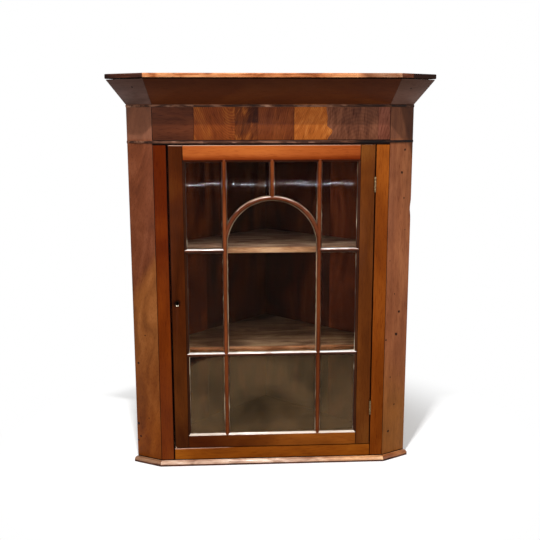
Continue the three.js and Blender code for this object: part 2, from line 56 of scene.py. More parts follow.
# Each board: the heart of its log, its tones inside and behind, and its knots as (place, radius)
WALL_BOARDS = {
    "left_wall_front_board": (
        (-0.31, 0.03, 0.4), ("#361508", "#54250e", "#743a1a"), ("#826a4c", "#a88c68", "#c4aa86"),
        (((-0.262, -0.030, 0.310), 0.009), ((-0.300, -0.066, 0.742), 0.006))),
    "left_wall_rear_board": (
        (-0.12, 0.20, 0.9), ("#2c1208", "#46200e", "#66341c"), ("#765a3e", "#9a7c58", "#b69a74"),
        (((-0.080, 0.154, 0.520), 0.010), ((-0.140, 0.094, 0.868), 0.007))),
    "right_wall_front_board": (
        (0.30, 0.02, 0.6), ("#4a2012", "#70361e", "#924e30"), ("#846c52", "#ac9072", "#c8b08e"),
        (((0.318, -0.084, 0.560), 0.008), ((0.250, -0.016, 0.150), 0.006))),
    "right_wall_rear_board": (
        (0.11, 0.22, 0.2), ("#281008", "#421c0e", "#60301c"), ("#70563c", "#947656", "#b0946e"),
        (((0.060, 0.174, 0.230), 0.009), ((0.120, 0.114, 0.660), 0.008))),
}
KNOT_TINT = "#5a3a24"
# The lean of the fibre, which runs upright in stiles and lies in rails
UPRIGHT = 0.0
LYING = math.pi / 2
# Directions along which stains grow and joints are placed
UP = (0.0, 0.0, 1.0)
DOWN = (0.0, 0.0, -1.0)
LEFT = (-1.0, 0.0, 0.0)
RIGHT = (1.0, 0.0, 0.0)
BACK = (0.0, 1.0, 0.0)
# Stains of the bare wood, as stain takes them: damp has come up from the foot, and water run down from the top
DAMP = (UP, 0.14, 0.01, "#a08c78", 1.4)
WATER = (UP, 0.90, 1.03, "#b8a490", 1.6)


def linear(hex_colour):
    """An sRGB hex colour as the linear values that a shader reads."""
    values = [int(hex_colour[i:i + 2], 16) / 255 for i in (1, 3, 5)]
    return (*[v / 12.92 if v <= 0.04045 else ((v + 0.055) / 1.055) ** 2.4 for v in values], 1.0)


def fill(tree, node, inputs):
    """Sets a node's inputs, given by name or in order. Each is a value, or an output socket to link."""
    for key, value in inputs.items() if isinstance(inputs, dict) else enumerate(inputs):
        if isinstance(value, bpy.types.NodeSocket):
            tree.links.new(value, node.inputs[key])
        else:
            node.inputs[key].default_value = value


def add(tree, kind, inputs=(), output=None, stops=(), **settings):
    """Adds a node with its inputs, settings and, for a ramp, stops of (place, hex colour).
    It gives the node, or the output that is asked for."""
    node = tree.nodes.new(kind)
    for key, value in settings.items():
        setattr(node, key, value)
    for index, (at, colour) in enumerate(stops):
        stop = node.color_ramp.elements[index] if index < 2 else node.color_ramp.elements.new(at)
        stop.position = at
        stop.color = linear(colour)
    fill(tree, node, inputs)
    return node if output is None else node.outputs[output]


def new_material(name):
    """A material and its node tree."""
    material = bpy.data.materials.new(name)
    material.use_nodes = True
    return material, material.node_tree


def grain(tree, tones, lean=UPRIGHT, heart=(0.0, 0.06, 0.5), ring=0.012, weights=(0.05, 0.35, 1.0),
          turn=0.0, taper=14.0, figure=0.09, pore_tint="#c4b2aa"):
    """A sawn board's face as (colour, height, pores): rings about the heart, streaks, flame and pores.
    Sizes are in metres and angles in radians. The fibre leans by lean from upright and turns by turn in plan.
    weights are how far rings, streaks and flame move the colour. taper is how long the rings' arches are,
    and figure how wide the flame is."""
    where = add(tree, "ShaderNodeTexCoord", output="Object")
    fibre = add(tree, "ShaderNodeMapping", {
        "Vector": where, "Location": heart, "Rotation": (0.0, lean, turn),
    }, "Vector", vector_type="TEXTURE")

    def stretched(across, length):
        return add(tree, "ShaderNodeVectorMath", [
            fibre, (1 / across, 1 / across, 1 / length),
        ], "Vector", operation="MULTIPLY")

    # The wave has a ring for every 2 pi / 20 of its own length. The log's taper makes the arches
    wave = ring * 10 / math.pi
    rings = add(tree, "ShaderNodeTexWave", {
        "Vector": stretched(wave, wave * taper), "Scale": 1.0, "Distortion": 3.0, "Detail": 2.0, "Detail Scale": 0.7,
    }, "Fac", wave_type="RINGS", rings_direction="SPHERICAL", wave_profile="SIN")
    # Streaks are 3 mm across and 180 mm long. The flame is nearly three times as long as it is wide
    streaks = add(tree, "ShaderNodeTexNoise", {
        "Vector": stretched(0.003, 0.18), "Scale": 1.0, "Detail": 3.0, "Roughness": 0.6,
    }, 0)
    flame = add(tree, "ShaderNodeTexNoise", {
        "Vector": stretched(figure, figure * 2.9), "Scale": 1.0, "Detail": 2.0, "Roughness": 0.5, "Distortion": 1.2,
    }, 0)
    # Mahogany's pores are 0.2 mm across. They are drawn 1.2 mm across so that they show
    pores = add(tree, "ShaderNodeTexNoise", {"Vector": stretched(0.0012, 0.022), "Scale": 1.0, "Detail": 1.0}, 0)
    open_pore = add(tree, "ShaderNodeMapRange", [pores, 0.56, 0.68], 0)
    level = 0.5
    for source, weight in zip((rings, streaks, flame), weights):
        centred = add(tree, "ShaderNodeMath", [source, 0.5], 0, operation="SUBTRACT")
        level = add(tree, "ShaderNodeMath", [centred, weight, level], 0, operation="MULTIPLY_ADD")
    # The tones are spread over the middle three quarters of the range, as noise seldom reaches its ends
    step = 0.76 / (len(tones) - 1)
    stops = [(0.12 + step * i, tone) for i, tone in enumerate(tones)]
    face = add(tree, "ShaderNodeValToRGB", [level], 0, stops=stops)
    face = add(tree, "ShaderNodeMix", {
        0: open_pore, 6: face, 7: linear(pore_tint),
    }, 2, data_type="RGBA", blend_type="MULTIPLY")
    return face, level, open_pore


# Depths of open pores in wood and of pits in metal
PORE_DEPTH = 0.00012
PIT_DEPTH = 0.0001


def finish_wood(tree, colour, level, pores, roughness, specular):
    """Polish over the grain: the pores stay open, and the polish is duller where it is worn."""
    where = add(tree, "ShaderNodeTexCoord", output="Object")
    # It is worn in patches of about 70 mm
    worn = add(tree, "ShaderNodeTexNoise", {"Vector": where, "Scale": 14.0, "Detail": 4.0, "Roughness": 0.6}, 0)
    dull = add(tree, "ShaderNodeMapRange", [worn, 0.3, 0.7, roughness - 0.07, roughness + 0.09], 0)
    sunk = add(tree, "ShaderNodeMath", [level, pores], 0, operation="SUBTRACT")
    bump = add(tree, "ShaderNodeBump", {"Height": sunk, "Strength": 0.5, "Distance": PORE_DEPTH}, "Normal")
    fill(tree, tree.nodes["Principled BSDF"], {
        "Base Color": colour, "Roughness": dull, "Normal": bump, "IOR": 1.5, "Specular IOR Level": specular,
    })


def stain(tree, colour, direction, start, end, tint, ragged=0.8, blend="MULTIPLY"):
    """Blends the colour with a tint that grows along a direction, from start to end metres, with a ragged front."""
    where = add(tree, "ShaderNodeTexCoord", output="Object")
    spread = abs(end - start) * ragged
    along = add(tree, "ShaderNodeVectorMath", [where, direction], "Value", operation="DOT_PRODUCT")
    # The front is ragged over about 110 mm
    cloud = add(tree, "ShaderNodeTexNoise", {"Vector": where, "Scale": 9.0, "Detail": 4.0}, 0)
    wander = add(tree, "ShaderNodeMath", [cloud, spread, along], 0, operation="MULTIPLY_ADD")
    amount = add(tree, "ShaderNodeMapRange", [
        wander, start + spread / 2, end + spread / 2,
    ], 0, interpolation_type="SMOOTHSTEP")
    return add(tree, "ShaderNodeMix", {0: amount, 6: colour, 7: linear(tint)}, 2, data_type="RGBA", blend_type=blend)


def spots(tree, colour, marks, tint):
    """Darkens round marks of (place, radius): knots, worm holes, dents and nail holes, with uneven rims."""
    where = add(tree, "ShaderNodeTexCoord", output="Object")
    # Rims are uneven every 5 mm
    rim = add(tree, "ShaderNodeTexNoise", {"Vector": where, "Scale": 210.0, "Detail": 2.0}, 0)
    for place, radius in marks:
        away = add(tree, "ShaderNodeVectorMath", [where, place], "Value", operation="DISTANCE")
        uneven = add(tree, "ShaderNodeMath", [rim, radius, away], 0, operation="MULTIPLY_ADD")
        inside = add(tree, "ShaderNodeMapRange", [
            uneven, radius, radius * 1.9, 1.0, 0.0,
        ], 0, interpolation_type="SMOOTHSTEP")
        colour = add(tree, "ShaderNodeMix", {
            0: inside, 6: colour, 7: linear(tint),
        }, 2, data_type="RGBA", blend_type="MULTIPLY")
    return colour


def put(name, data):
    """A new object in the scene."""
    thing = bpy.data.objects.new(name, data)
    bpy.context.scene.collection.objects.link(thing)
    return thing


# Points closer than WELD and faces within LEVELLED of each other are joined. Edges sharper than CREASE
# are rubbed round, and shading breaks at those sharper than SHARP
WELD = 2e-6
LEVELLED = math.radians(0.6)
CREASE = math.radians(35)
SHARP = math.radians(38)


def stand_for(shape, node, suffix, finishes, body, pick=None):
    """Makes a mesh from a bmesh, in place of the CAD node of that name, on the same body.
    pick(centre, normal) gives the number of a face's finish."""
    mesh = bpy.data.meshes.new(f"{node}_{suffix}")
    shape.to_mesh(mesh)
    shape.free()
    piece = put(f"{node}_{suffix}", mesh)
    for finish in finishes:
        mesh.materials.append(finish)
    for face in mesh.polygons:
        face.use_smooth = True
        face.material_index = pick(face.center, face.normal) if pick else 0
    mesh.set_sharp_from_angle(angle=SHARP)
    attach(piece, body)
    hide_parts(node)
    return piece


def merged(node):
    """A CAD node's shape as whole faces instead of loose triangles."""
    shape = bmesh.new()
    shape.from_mesh(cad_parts[node].data)
    bmesh.ops.remove_doubles(shape, verts=shape.verts, dist=WELD)
    bmesh.ops.dissolve_limit(
        shape, angle_limit=LEVELLED, verts=shape.verts, edges=shape.edges, use_dissolve_boundaries=False)
    return shape


def eased(node, arris, finishes, body, pick=None, dent=None):
    """The CAD piece with its sharp arrises rubbed round, as a century of handling leaves them.
    dent is (height, half length, depth, inner): a knock into the right-hand edge, where x is over inner."""
    shape = merged(node)
    sharp = [e for e in shape.edges if e.is_manifold and e.is_convex and e.calc_face_angle() > CREASE]
    bmesh.ops.bevel(
        shape, geom=sharp, offset=arris, offset_type="OFFSET", segments=2, profile=0.5,
        affect="EDGES", clamp_overlap=True)
    if dent:
        height, half, depth, inner = dent
        # The long edges there are cut into quarters of the dent's half length
        tall = [e for e in shape.edges if e.calc_length() > half * 20 and min(v.co.x for v in e.verts) > inner]
        bmesh.ops.subdivide_edges(shape, edges=tall, cuts=int(tall[0].calc_length() / (half / 4)), use_grid_fill=True)
        for v in shape.verts:
            if v.co.x > inner:
                v.co.x -= depth * math.exp(-((v.co.z - height) / half) ** 2)
    return stand_for(shape, node, "worn", finishes, body, pick)


# The heads of nails and screws come from one tree of geometry nodes, which sets them out on points
SCREW_RADIUS = 0.0019
SLOT_WIDTH = 0.0006
HEAD_DEPTH = 0.0008
NAIL_SIZE = (0.0050, 0.0034, 0.0010)
NAIL_PROUD = 0.0002
fixing_tree = bpy.data.node_groups.new("fixings_at_points", "GeometryNodeTree")
sockets = {}
for label, kind, way in (
        ("Geometry", "Geometry", "INPUT"), ("Head Radius", "Float", "INPUT"), ("Slot Width", "Float", "INPUT"),
        ("Nail Size", "Vector", "INPUT"), ("Is Nail", "Bool", "INPUT"), ("Seed", "Int", "INPUT"),
        ("Finish", "Material", "INPUT"), ("Geometry", "Geometry", "OUTPUT")):
    sockets[label, way] = fixing_tree.interface.new_socket(label, in_out=way, socket_type=f"NodeSocket{kind}")
given = add(fixing_tree, "NodeGroupInput").outputs
head = add(fixing_tree, "GeometryNodeMeshCylinder", {
    "Vertices": 24, "Radius": given["Head Radius"], "Depth": HEAD_DEPTH,
}, "Mesh")
# The slot is cut a quarter of the head's depth deep, by a block that is longer than the head
slot_size = add(fixing_tree, "ShaderNodeCombineXYZ", {
    "X": SCREW_RADIUS * 3, "Y": given["Slot Width"], "Z": HEAD_DEPTH,
}, 0)
slot_block = add(fixing_tree, "GeometryNodeMeshCube", {"Size": slot_size}, "Mesh")
raised = add(fixing_tree, "GeometryNodeTransform", {
    "Geometry": slot_block, "Translation": (0.0, 0.0, HEAD_DEPTH * 0.75),
}, 0)
slotted = add(fixing_tree, "GeometryNodeMeshBoolean", [head, raised], 0, operation="DIFFERENCE")
nail = add(fixing_tree, "GeometryNodeMeshCube", {"Size": given["Nail Size"]}, "Mesh")
chosen = add(fixing_tree, "GeometryNodeSwitch", {
    "Switch": given["Is Nail"], "False": slotted, "True": nail,
}, 0, input_type="GEOMETRY")
facing = add(fixing_tree, "GeometryNodeInputNamedAttribute", {"Name": "facing"}, data_type="FLOAT_VECTOR")
aim = add(fixing_tree, "FunctionNodeAlignRotationToVector", {"Vector": facing.outputs[0]}, 0, axis="Z")
placed = add(fixing_tree, "GeometryNodeInstanceOnPoints", {
    "Points": given["Geometry"], "Instance": chosen, "Rotation": aim,
}, 0)
spin = add(fixing_tree, "FunctionNodeRandomValue", {
    2: -math.pi, 3: math.pi, "Seed": given["Seed"],
}, 1, data_type="FLOAT")
about = add(fixing_tree, "ShaderNodeCombineXYZ", {"Z": spin}, 0)
turned = add(fixing_tree, "GeometryNodeRotateInstances", {"Instances": placed, "Rotation": about}, 0)
real = add(fixing_tree, "GeometryNodeRealizeInstances", {"Geometry": turned}, 0)
coated = add(fixing_tree, "GeometryNodeSetMaterial", {"Geometry": real, "Material": given["Finish"]}, 0)
add(fixing_tree, "NodeGroupOutput", [coated])


def fixings(name, places, facing, finish, body, seed, nail=False):
    """One mesh of screw or nail heads at these places, all facing one way and turned at random."""
    mesh = bpy.data.meshes.new(f"{name}_places")
    mesh.from_pydata(places, [], [])
    ways = mesh.attributes.new("facing", "FLOAT_VECTOR", "POINT")
    for entry in ways.data:
        entry.vector = facing
    source = put(f"{name}_places", mesh)
    modifier = source.modifiers.new("fixings", "NODES")
    modifier.node_group = fixing_tree
    values = {"Head Radius": SCREW_RADIUS, "Slot Width": SLOT_WIDTH, "Nail Size": NAIL_SIZE,
              "Is Nail": nail, "Seed": seed, "Finish": finish}
    for label, value in values.items():
        modifier[sockets[label, "INPUT"].identifier] = value
    evaluated = source.evaluated_get(bpy.context.evaluated_depsgraph_get())
    heads = bpy.data.meshes.new_from_object(evaluated)
    source.modifiers.remove(modifier)
    bpy.data.objects.remove(source)
    piece = put(name, heads)
    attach(piece, body)


def iron(name):
    """Old iron, dull and pitted, and rusted brown in patches of about 8 mm."""
    material, tree = new_material(name)
    where = add(tree, "ShaderNodeTexCoord", output="Object")
    rust = add(tree, "ShaderNodeTexNoise", {"Vector": where, "Scale": 120.0, "Detail": 5.0, "Roughness": 0.65}, 0)
    tone = add(tree, "ShaderNodeValToRGB", [rust], 0, stops=[(0.35, "#4a3226"), (0.5, "#5e564e"), (0.7, "#827e78")])
    pits = add(tree, "ShaderNodeBump", {"Height": rust, "Strength": 0.4, "Distance": PIT_DEPTH}, "Normal")
    fill(tree, tree.nodes["Principled BSDF"], {"Base Color": tone, "Normal": pits, "Metallic": 1.0, "Roughness": 0.5})
    return material


NAIL_LEVELS = [(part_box(node)[0][2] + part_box(node)[1][2]) / 2
               for node in ("bottom_board", "lower_shelf", "upper_shelf", "top_board")]
NAIL_REACHES = (0.04, 0.14, 0.24, 0.33, 0.42, 0.50)
# Hand-set, so each nail is a few millimetres out of line, along the wall and upwards
NAIL_STRAY = (0.008, 0.003)
NAIL_SEED = 11
# Each nail has rusted the bare wood round it
RUST_RADIUS = 0.0045
RUST_TINT = "#5e3c2c"
nails = {}
for side, sign in (("left", -1.0), ("right", 1.0)):
    out = Vector((sign * math.sqrt(0.5), math.sqrt(0.5), 0.0))
    along = Vector((sign * math.sqrt(0.5), -math.sqrt(0.5), 0.0))
    nails[side] = []
    for number, reach in enumerate(NAIL_REACHES):
        for level, height in enumerate(NAIL_LEVELS):
            stray = noise.noise(Vector((number * 3.1, level * 5.7, sign)))
            place = out * (WALL_PLANE - NAIL_SIZE[2] / 2 + NAIL_PROUD)
            place += along * (reach - WALL_PLANE + NAIL_STRAY[0] * stray)
            nails[side].append((place.x, place.y, height + NAIL_STRAY[1] * stray))
    fixings(f"{side}_wall_nails", nails[side], out, iron(f"rusted_iron_{side}_wall_nails"), "case",
            NAIL_SEED, nail=True)

for node, (heart, stained_tones, bare_tones, knots) in WALL_BOARDS.items():
    finish, tree = new_material(f"stained_pine_{node}")
    stained, level, pores = grain(tree, stained_tones, heart=heart, ring=0.014, weights=(0.08, 0.25, 1.8))
    bare, _, _ = grain(tree, bare_tones, heart=heart, ring=0.014, weights=(0.30, 0.5, 0.8))
    bare = stain(tree, bare, *DAMP)
    bare = stain(tree, bare, *WATER)
    bare = spots(tree, bare, knots, KNOT_TINT)
    rusted = [(place, RUST_RADIUS) for place in nails[node.split("_")[0]]
              if (abs(place[0]) > BOARD_JOINT) == ("front" in node)]
    bare = spots(tree, bare, rusted, RUST_TINT)
    # How far a point lies out towards the wall tells the board's back from its stained face
    across = (math.copysign(math.sqrt(0.5), heart[0]), math.sqrt(0.5), 0.0)
    where = add(tree, "ShaderNodeTexCoord", output="Object")
    outwards = add(tree, "ShaderNodeVectorMath", [where, across], "Value", operation="DOT_PRODUCT")
    behind = add(tree, "ShaderNodeMapRange", [
        outwards, WALL_PLANE - BACK_BOARD_THICKNESS * 0.8, WALL_PLANE - BACK_BOARD_THICKNESS * 0.6,
    ], 0)
    colour = add(tree, "ShaderNodeMix", {0: behind, 6: stained, 7: bare}, 2, data_type="RGBA")
    finish_wood(tree, colour, level, pores, roughness=0.7, specular=0.08)
    eased(node, BACK_BOARD_ARRIS, [finish], "case")


# Bottom board, top board and two shelves. They are pine, let in between the walls and the splayed
# sides. The shelves' tops are bare and grey with dust, and their front edges are rubbed pale.
BOARD_ARRIS = 0.001
SHELF_EDGE_DEPTH = 0.004
# Each shelf: its tones on top and along its front edge. The upper shelf's are painted paler, as light against the
# shade that it lies in under the top
SHELVES = {
    "lower_shelf": (("#775e4b", "#ab8d75", "#d6bf9d"), ("#8c5c3c", "#c08a64", "#d8a884")),
    "upper_shelf": (("#997869", "#d7b3a0", "#fff1d5"), ("#9b704e", "#d4a680", "#eecaa8")),
}
# Painted shade: the tops darken towards the back, where less light reaches
SHELF_BACK_SHADE = (BACK, -0.12, -0.03, "#ccc4c0", 1.0)
# The end behind the door's stile, seen through the gap beside the door, is painted dark as shade
SHELF_END_SHADE = (LEFT, 0.254, 0.260, "#2c2018", 0.2)


def seam(tree, colour, direction, place, half_width, tint="#2a1a14"):
    """Dark dirt along a joint, which is the plane at that place along a direction."""
    where = add(tree, "ShaderNodeTexCoord", output="Object")
    along = add(tree, "ShaderNodeVectorMath", [where, direction], "Value", operation="DOT_PRODUCT")
    away = add(tree, "ShaderNodeMath", [along, place], 0, operation="SUBTRACT")
    away = add(tree, "ShaderNodeMath", [away], 0, operation="ABSOLUTE")
    amount = add(tree, "ShaderNodeMapRange", [
        away, half_width * 0.4, half_width, 1.0, 0.0,
    ], 0, interpolation_type="SMOOTHSTEP")
    return add(tree, "ShaderNodeMix", {
        0: amount, 6: colour, 7: linear(tint),
    }, 2, data_type="RGBA", blend_type="MULTIPLY")


def timber(name, tones, roughness=0.42, specular=0.06, stains=(), seams=(), marks=(), tint="#3a2a24", **fibre):
    """A wooden piece's material: its grain, then the stains, dirty seams and marks it has taken.
    stains, seams and marks are the values of stain, seam and spots, with tint for the marks, and fibre of grain."""
    material, tree = new_material(name)
    colour, level, pores = grain(tree, tones, **fibre)
    for one in stains:
        colour = stain(tree, colour, *one)
    for one in seams:
        colour = seam(tree, colour, *one)
    colour = spots(tree, colour, marks, tint)
    finish_wood(tree, colour, level, pores, roughness, specular)
    return material


for node, (top_tones, edge_tones) in SHELVES.items():
    finish, tree = new_material(f"worn_pine_{node}")
    board, level, pores = grain(
        tree, top_tones, LYING, (0.1, 0.05, -0.3), ring=0.015, weights=(0.1, 1.6, 1.8), figure=0.05)
    edge, _, _ = grain(tree, edge_tones, LYING, (0.0, 0.05, -0.2), ring=0.01, weights=(0.1, 1.4, 1.8), figure=0.03)
    where = add(tree, "ShaderNodeTexCoord", output="Object")
    depth = add(tree, "ShaderNodeSeparateXYZ", [where], "Y")
    # The rubbed edge wanders every 17 mm
    rough = add(tree, "ShaderNodeTexNoise", {"Vector": where, "Scale": 60.0, "Detail": 3.0}, 0)
    ragged = add(tree, "ShaderNodeMath", [rough, SHELF_EDGE_DEPTH, depth], 0, operation="MULTIPLY_ADD")
    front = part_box(node)[0][1]
    at_edge = add(tree, "ShaderNodeMapRange", [
        ragged, front + SHELF_EDGE_DEPTH, front + SHELF_EDGE_DEPTH * 2, 1.0, 0.0,
    ], 0)
    board = stain(tree, board, *SHELF_BACK_SHADE)
    board = stain(tree, board, *SHELF_END_SHADE)
    edge = stain(tree, edge, *SHELF_END_SHADE)
    colour = add(tree, "ShaderNodeMix", {0: at_edge, 6: board, 7: edge}, 2, data_type="RGBA")
    finish_wood(tree, colour, level, pores, roughness=0.62, specular=0.1)
    eased(node, BOARD_ARRIS, [finish], "case")
for node in ("bottom_board", "top_board"):
    finish = timber(
        f"stained_pine_{node}", ("#4c3826", "#6c533b", "#836a4c"), lean=LYING, heart=(0.1, 0.0, 0.4),
        weights=(0.3, 0.8, 0.8), roughness=0.6, specular=0.1)
    eased(node, BOARD_ARRIS, [finish], "case")


# Splayed sides. Each is one full-height board of solid mahogany, nailed to the boards behind and
# mitred to the face. The left one is redder with a soft flame, the right one paler and knotty.
SIDE_ARRIS = 0.0012
LEFT_SIDE_MARKS = (
    ((-0.3616, -0.1431, 0.282), 0.0035), ((-0.3404, -0.1545, 0.362), 0.0020), ((-0.3664, -0.1405, 0.109), 0.0040),
    ((-0.3619, -0.1429, 0.072), 0.0030), ((-0.3368, -0.1564, 0.129), 0.0018), ((-0.3692, -0.1390, 0.060), 0.0030),
)
RIGHT_SIDE_MARKS = (
    ((0.3486, -0.1501, 0.851), 0.0030), ((0.3416, -0.1538, 0.792), 0.0036), ((0.3500, -0.1493, 0.725), 0.0020),
    ((0.3297, -0.1602, 0.468), 0.0018), ((0.3453, -0.1518, 0.417), 0.0036), ((0.3380, -0.1557, 0.355), 0.0042),
    ((0.3075, -0.1721, 0.343), 0.0024), ((0.3382, -0.1556, 0.154), 0.0020), ((0.3217, -0.1645, 0.079), 0.0034),
    ((0.3560, -0.1465, 0.640), 0.0016), ((0.3130, -0.1690, 0.560), 0.0016), ((0.3240, -0.1635, 0.235), 0.0018),
)
# Half the width of the face frame's front, out to its mitres. Dirt lies in them, and above the plinth
FRONT_HALF = 0.303
PLINTH_SEAM = (UP, 0.0135, 0.0030)
# Both sides are hazy above the lower bead, yellower towards the foot and dark at the upper rear corner
LEFT_SIDE_STAINS = [
    ((-1.55, 0.0, 1.0), 1.015, 1.075, "#cab8dc", 0.4), (UP, 0.872, 0.884, "#322c26", 0.1, "SCREEN"),
    (UP, 0.36, 0.20, "#ecdcc8"), (UP, 0.20, 0.06, "#fcecb8"),
]
RIGHT_SIDE_STAINS = [
    (UP, 0.872, 0.884, "#d4d0d0", 0.1), (UP, 0.872, 0.884, "#201e1c", 0.1, "SCREEN"),
    (UP, 0.34, 0.10, "#fcf4bc"), (UP, 0.34, 0.10, "#362a10", 0.8, "SCREEN"),
    ((1.0, 0.0, 0.3), 0.615, 0.625, "#b8b4b4", 0.2), (UP, 0.62, 0.80, "#e0dcd8"),
]
# A knock on the right-hand board's rear edge: its height, half its length, its depth, and how far in it reaches
SIDE_DENT = (0.697, 0.016, 0.0022, 0.362)
finish = timber(
    "faded_mahogany_left_side", ("#633718", "#824c23", "#9a6234"), heart=(-0.42, 0.10, 0.2), ring=0.022,
    lean=0.30, weights=(0.10, 0.22, 1.1), taper=5.0, figure=0.04, pore_tint="#dcd0ca", marks=LEFT_SIDE_MARKS,
    seams=[(LEFT, FRONT_HALF, 0.0016), PLINTH_SEAM], stains=LEFT_SIDE_STAINS)
eased("left_splayed_side", SIDE_ARRIS, [finish], "case")
finish = timber(
    "faded_mahogany_right_side", ("#663822", "#834d30", "#a06642"), heart=(0.46, 0.12, 0.8), ring=0.016,
    weights=(0.08, 0.25, 1.2), pore_tint="#d4c6be", marks=RIGHT_SIDE_MARKS, tint="#2c1a12",
    seams=[(RIGHT, FRONT_HALF, 0.0016), PLINTH_SEAM], stains=RIGHT_SIDE_STAINS)
eased("right_splayed_side", SIDE_ARRIS, [finish], "case", dent=SIDE_DENT)


# Face frame. Two stiles and a bottom rail of mahogany carry the door, with the frieze above. The
# stiles still have their deep red polish at the left and have faded to amber at the right.
FACE_ARRIS = 0.0008
DOORWAY_HALF = 0.2686
# Dirt lies where the frame meets the plinth, the bead and the door
FACE_SEAMS = [PLINTH_SEAM, (UP, 0.8665, 0.0025), (RIGHT, DOORWAY_HALF, 0.0016), (LEFT, DOORWAY_HALF, 0.0030)]
FACE_STAINS = {
    "left_face_stile": [(UP, 0.46, 0.62, "#ceb2a4"), (UP, 0.36, 0.10, "#0c0c0c", 0.6, "SCREEN")],
    "right_face_stile": [(UP, 0.80, 0.68, "#d8ccbc")],
    # A line that the door has rubbed along the rail
    "face_bottom_rail": [((-0.012, 0.0, 1.0), 0.0472, 0.0478, "#c09480", 3.0, "MIX")],
}
# Each member: its tones, its fibre's lean, the heart of its log, and its slot
FACE_FRAME = {
    "left_face_stile": (("#4f1c04", "#6b2d07", "#904a0f"), UPRIGHT, (-0.25, 0.02, 0.3), "red_mahogany"),
    "right_face_stile": (("#6d350f", "#884612", "#a86024"), UPRIGHT, (0.36, 0.00, 0.6), "amber_mahogany"),
    "face_bottom_rail": (("#572706", "#7e410c", "#9b5916"), LYING, (0.2, 0.00, 0.06), "amber_mahogany"),
}
for node, (tones, lean, heart, slot) in FACE_FRAME.items():
    finish = timber(
        f"polished_mahogany_{node}", tones, lean=lean, heart=heart, ring=0.012, weights=(0.05, 0.25, 0.9),
        specular=0.02, pore_tint="#dccec6", seams=FACE_SEAMS, stains=FACE_STAINS[node])
    eased(node, FACE_ARRIS, [finish], "case")


# Frieze. It is faced with leaves of mahogany veneer from different flitches, butted edge to edge
# and rubbed down with hot glue. Each has its own figure, and two of them are bright with flame.
FRIEZE_ARRIS = 0.0008
JOINT_WIDTH = 0.0012
LEAF_WANDER = 0.003
CUT_EDGE = 0.1400
CUT_EDGE_WANDER = 0.010
# The bulge at its foot: how far out, and the heights where it starts, is full and ends
CUT_BULGE = 0.0150
CUT_BULGE_HEIGHTS = (0.9140, 0.9000, 0.8740)
# Each leaf: right-hand edge, tones, then its fibre's lean, heart, ring width, weights, turn, taper and figure
VENEERS = [
    (-FRONT_HALF, ("#543628", "#6c4838", "#84604c"),
     0.25, (-0.33, -0.16, 0.87), 0.006, (0.14, 0.4, 1.2), 0.0, 3.0, 0.03),
    (-0.1990, ("#35190d", "#4d2513", "#613119"),
     LYING, (-0.25, -0.16, 0.80), 0.012, (0.05, 0.22, 1.2), 0.0, 6.0, 0.04),
    (-0.0943, ("#552108", "#733612", "#9c5a1f"),
     -0.35, (-0.108, -0.165, 0.965), 0.0045, (0.18, 0.2, 1.1), 0.0, 1.5, 0.03),
    (-0.0380, ("#3c1c0a", "#622d0e", "#9b5922"),
     0.30, (-0.02, -0.16, 0.84), 0.004, (0.12, 0.25, 1.4), 0.0, 1.6, 0.018),
    (0.0558, ("#4b1e09", "#652f11", "#7f4219"),
     0.22, (0.10, -0.10, 0.70), 0.004, (0.10, 0.7, 1.0), 0.0, 6.0, 0.030),
    (CUT_EDGE, ("#7b3a0d", "#9b541d", "#bb7537"),
     0.40, (0.22, -0.16, 0.86), 0.004, (0.12, 0.35, 1.0), 0.0, 2.0, 0.02),
    (0.2716, ("#462418", "#633a27", "#7a4b35"),
     0.06, (0.222, -0.168, 0.846), 0.0075, (0.11, 0.12, 1.5), 0.0, 1.2, 0.035),
    (0.4000, ("#522618", "#6d3d2c", "#854e3d"),
     0.20, (0.31, -0.16, 0.80), 0.007, (0.12, 0.4, 1.2), 0.0, 5.0, 0.03),
]
# Dirt along the joints: half its width and its colour
LEAF_SEAM = (0.0010, "#b8a8a0")
# A darker patch let into the third leaf: its edges as (place, wander, softness), and its colour
PATCH_LEFT = (-0.0690, 0.012, 0.012)
PATCH_RIGHT = (-0.0360, 0.004, 0.003)
PATCH_FOOT = (0.9180, 0.006, 0.005)
PATCH_TINT = "#9c8c84"
# It is dark at its right-hand end, and under the dust along its foot
FRIEZE_STAINS = [(RIGHT, 0.3425, 0.3435, "#b0a8a8", 0.1), (DOWN, -0.8790, -0.8770, "#4a3c34", 0.1)]
finish, tree = new_material("veneered_mahogany_frieze")
where = add(tree, "ShaderNodeTexCoord", output="Object")
parts = add(tree, "ShaderNodeSeparateXYZ", [where]).outputs
# The knife wandered every 40 mm
wander = add(tree, "ShaderNodeTexNoise", {"Vector": where, "Scale": 26.0, "Detail": 2.0}, 0)


def beyond(tree, value, edge, wave, soft=JOINT_WIDTH):
    """1 where a value is past an edge that wanders by wave metres in all, else 0."""
    moved = add(tree, "ShaderNodeMath", [wander, -wave, value], 0, operation="MULTIPLY_ADD")
    return add(tree, "ShaderNodeMapRange", [moved, edge - wave / 2, edge - wave / 2 + soft], 0)


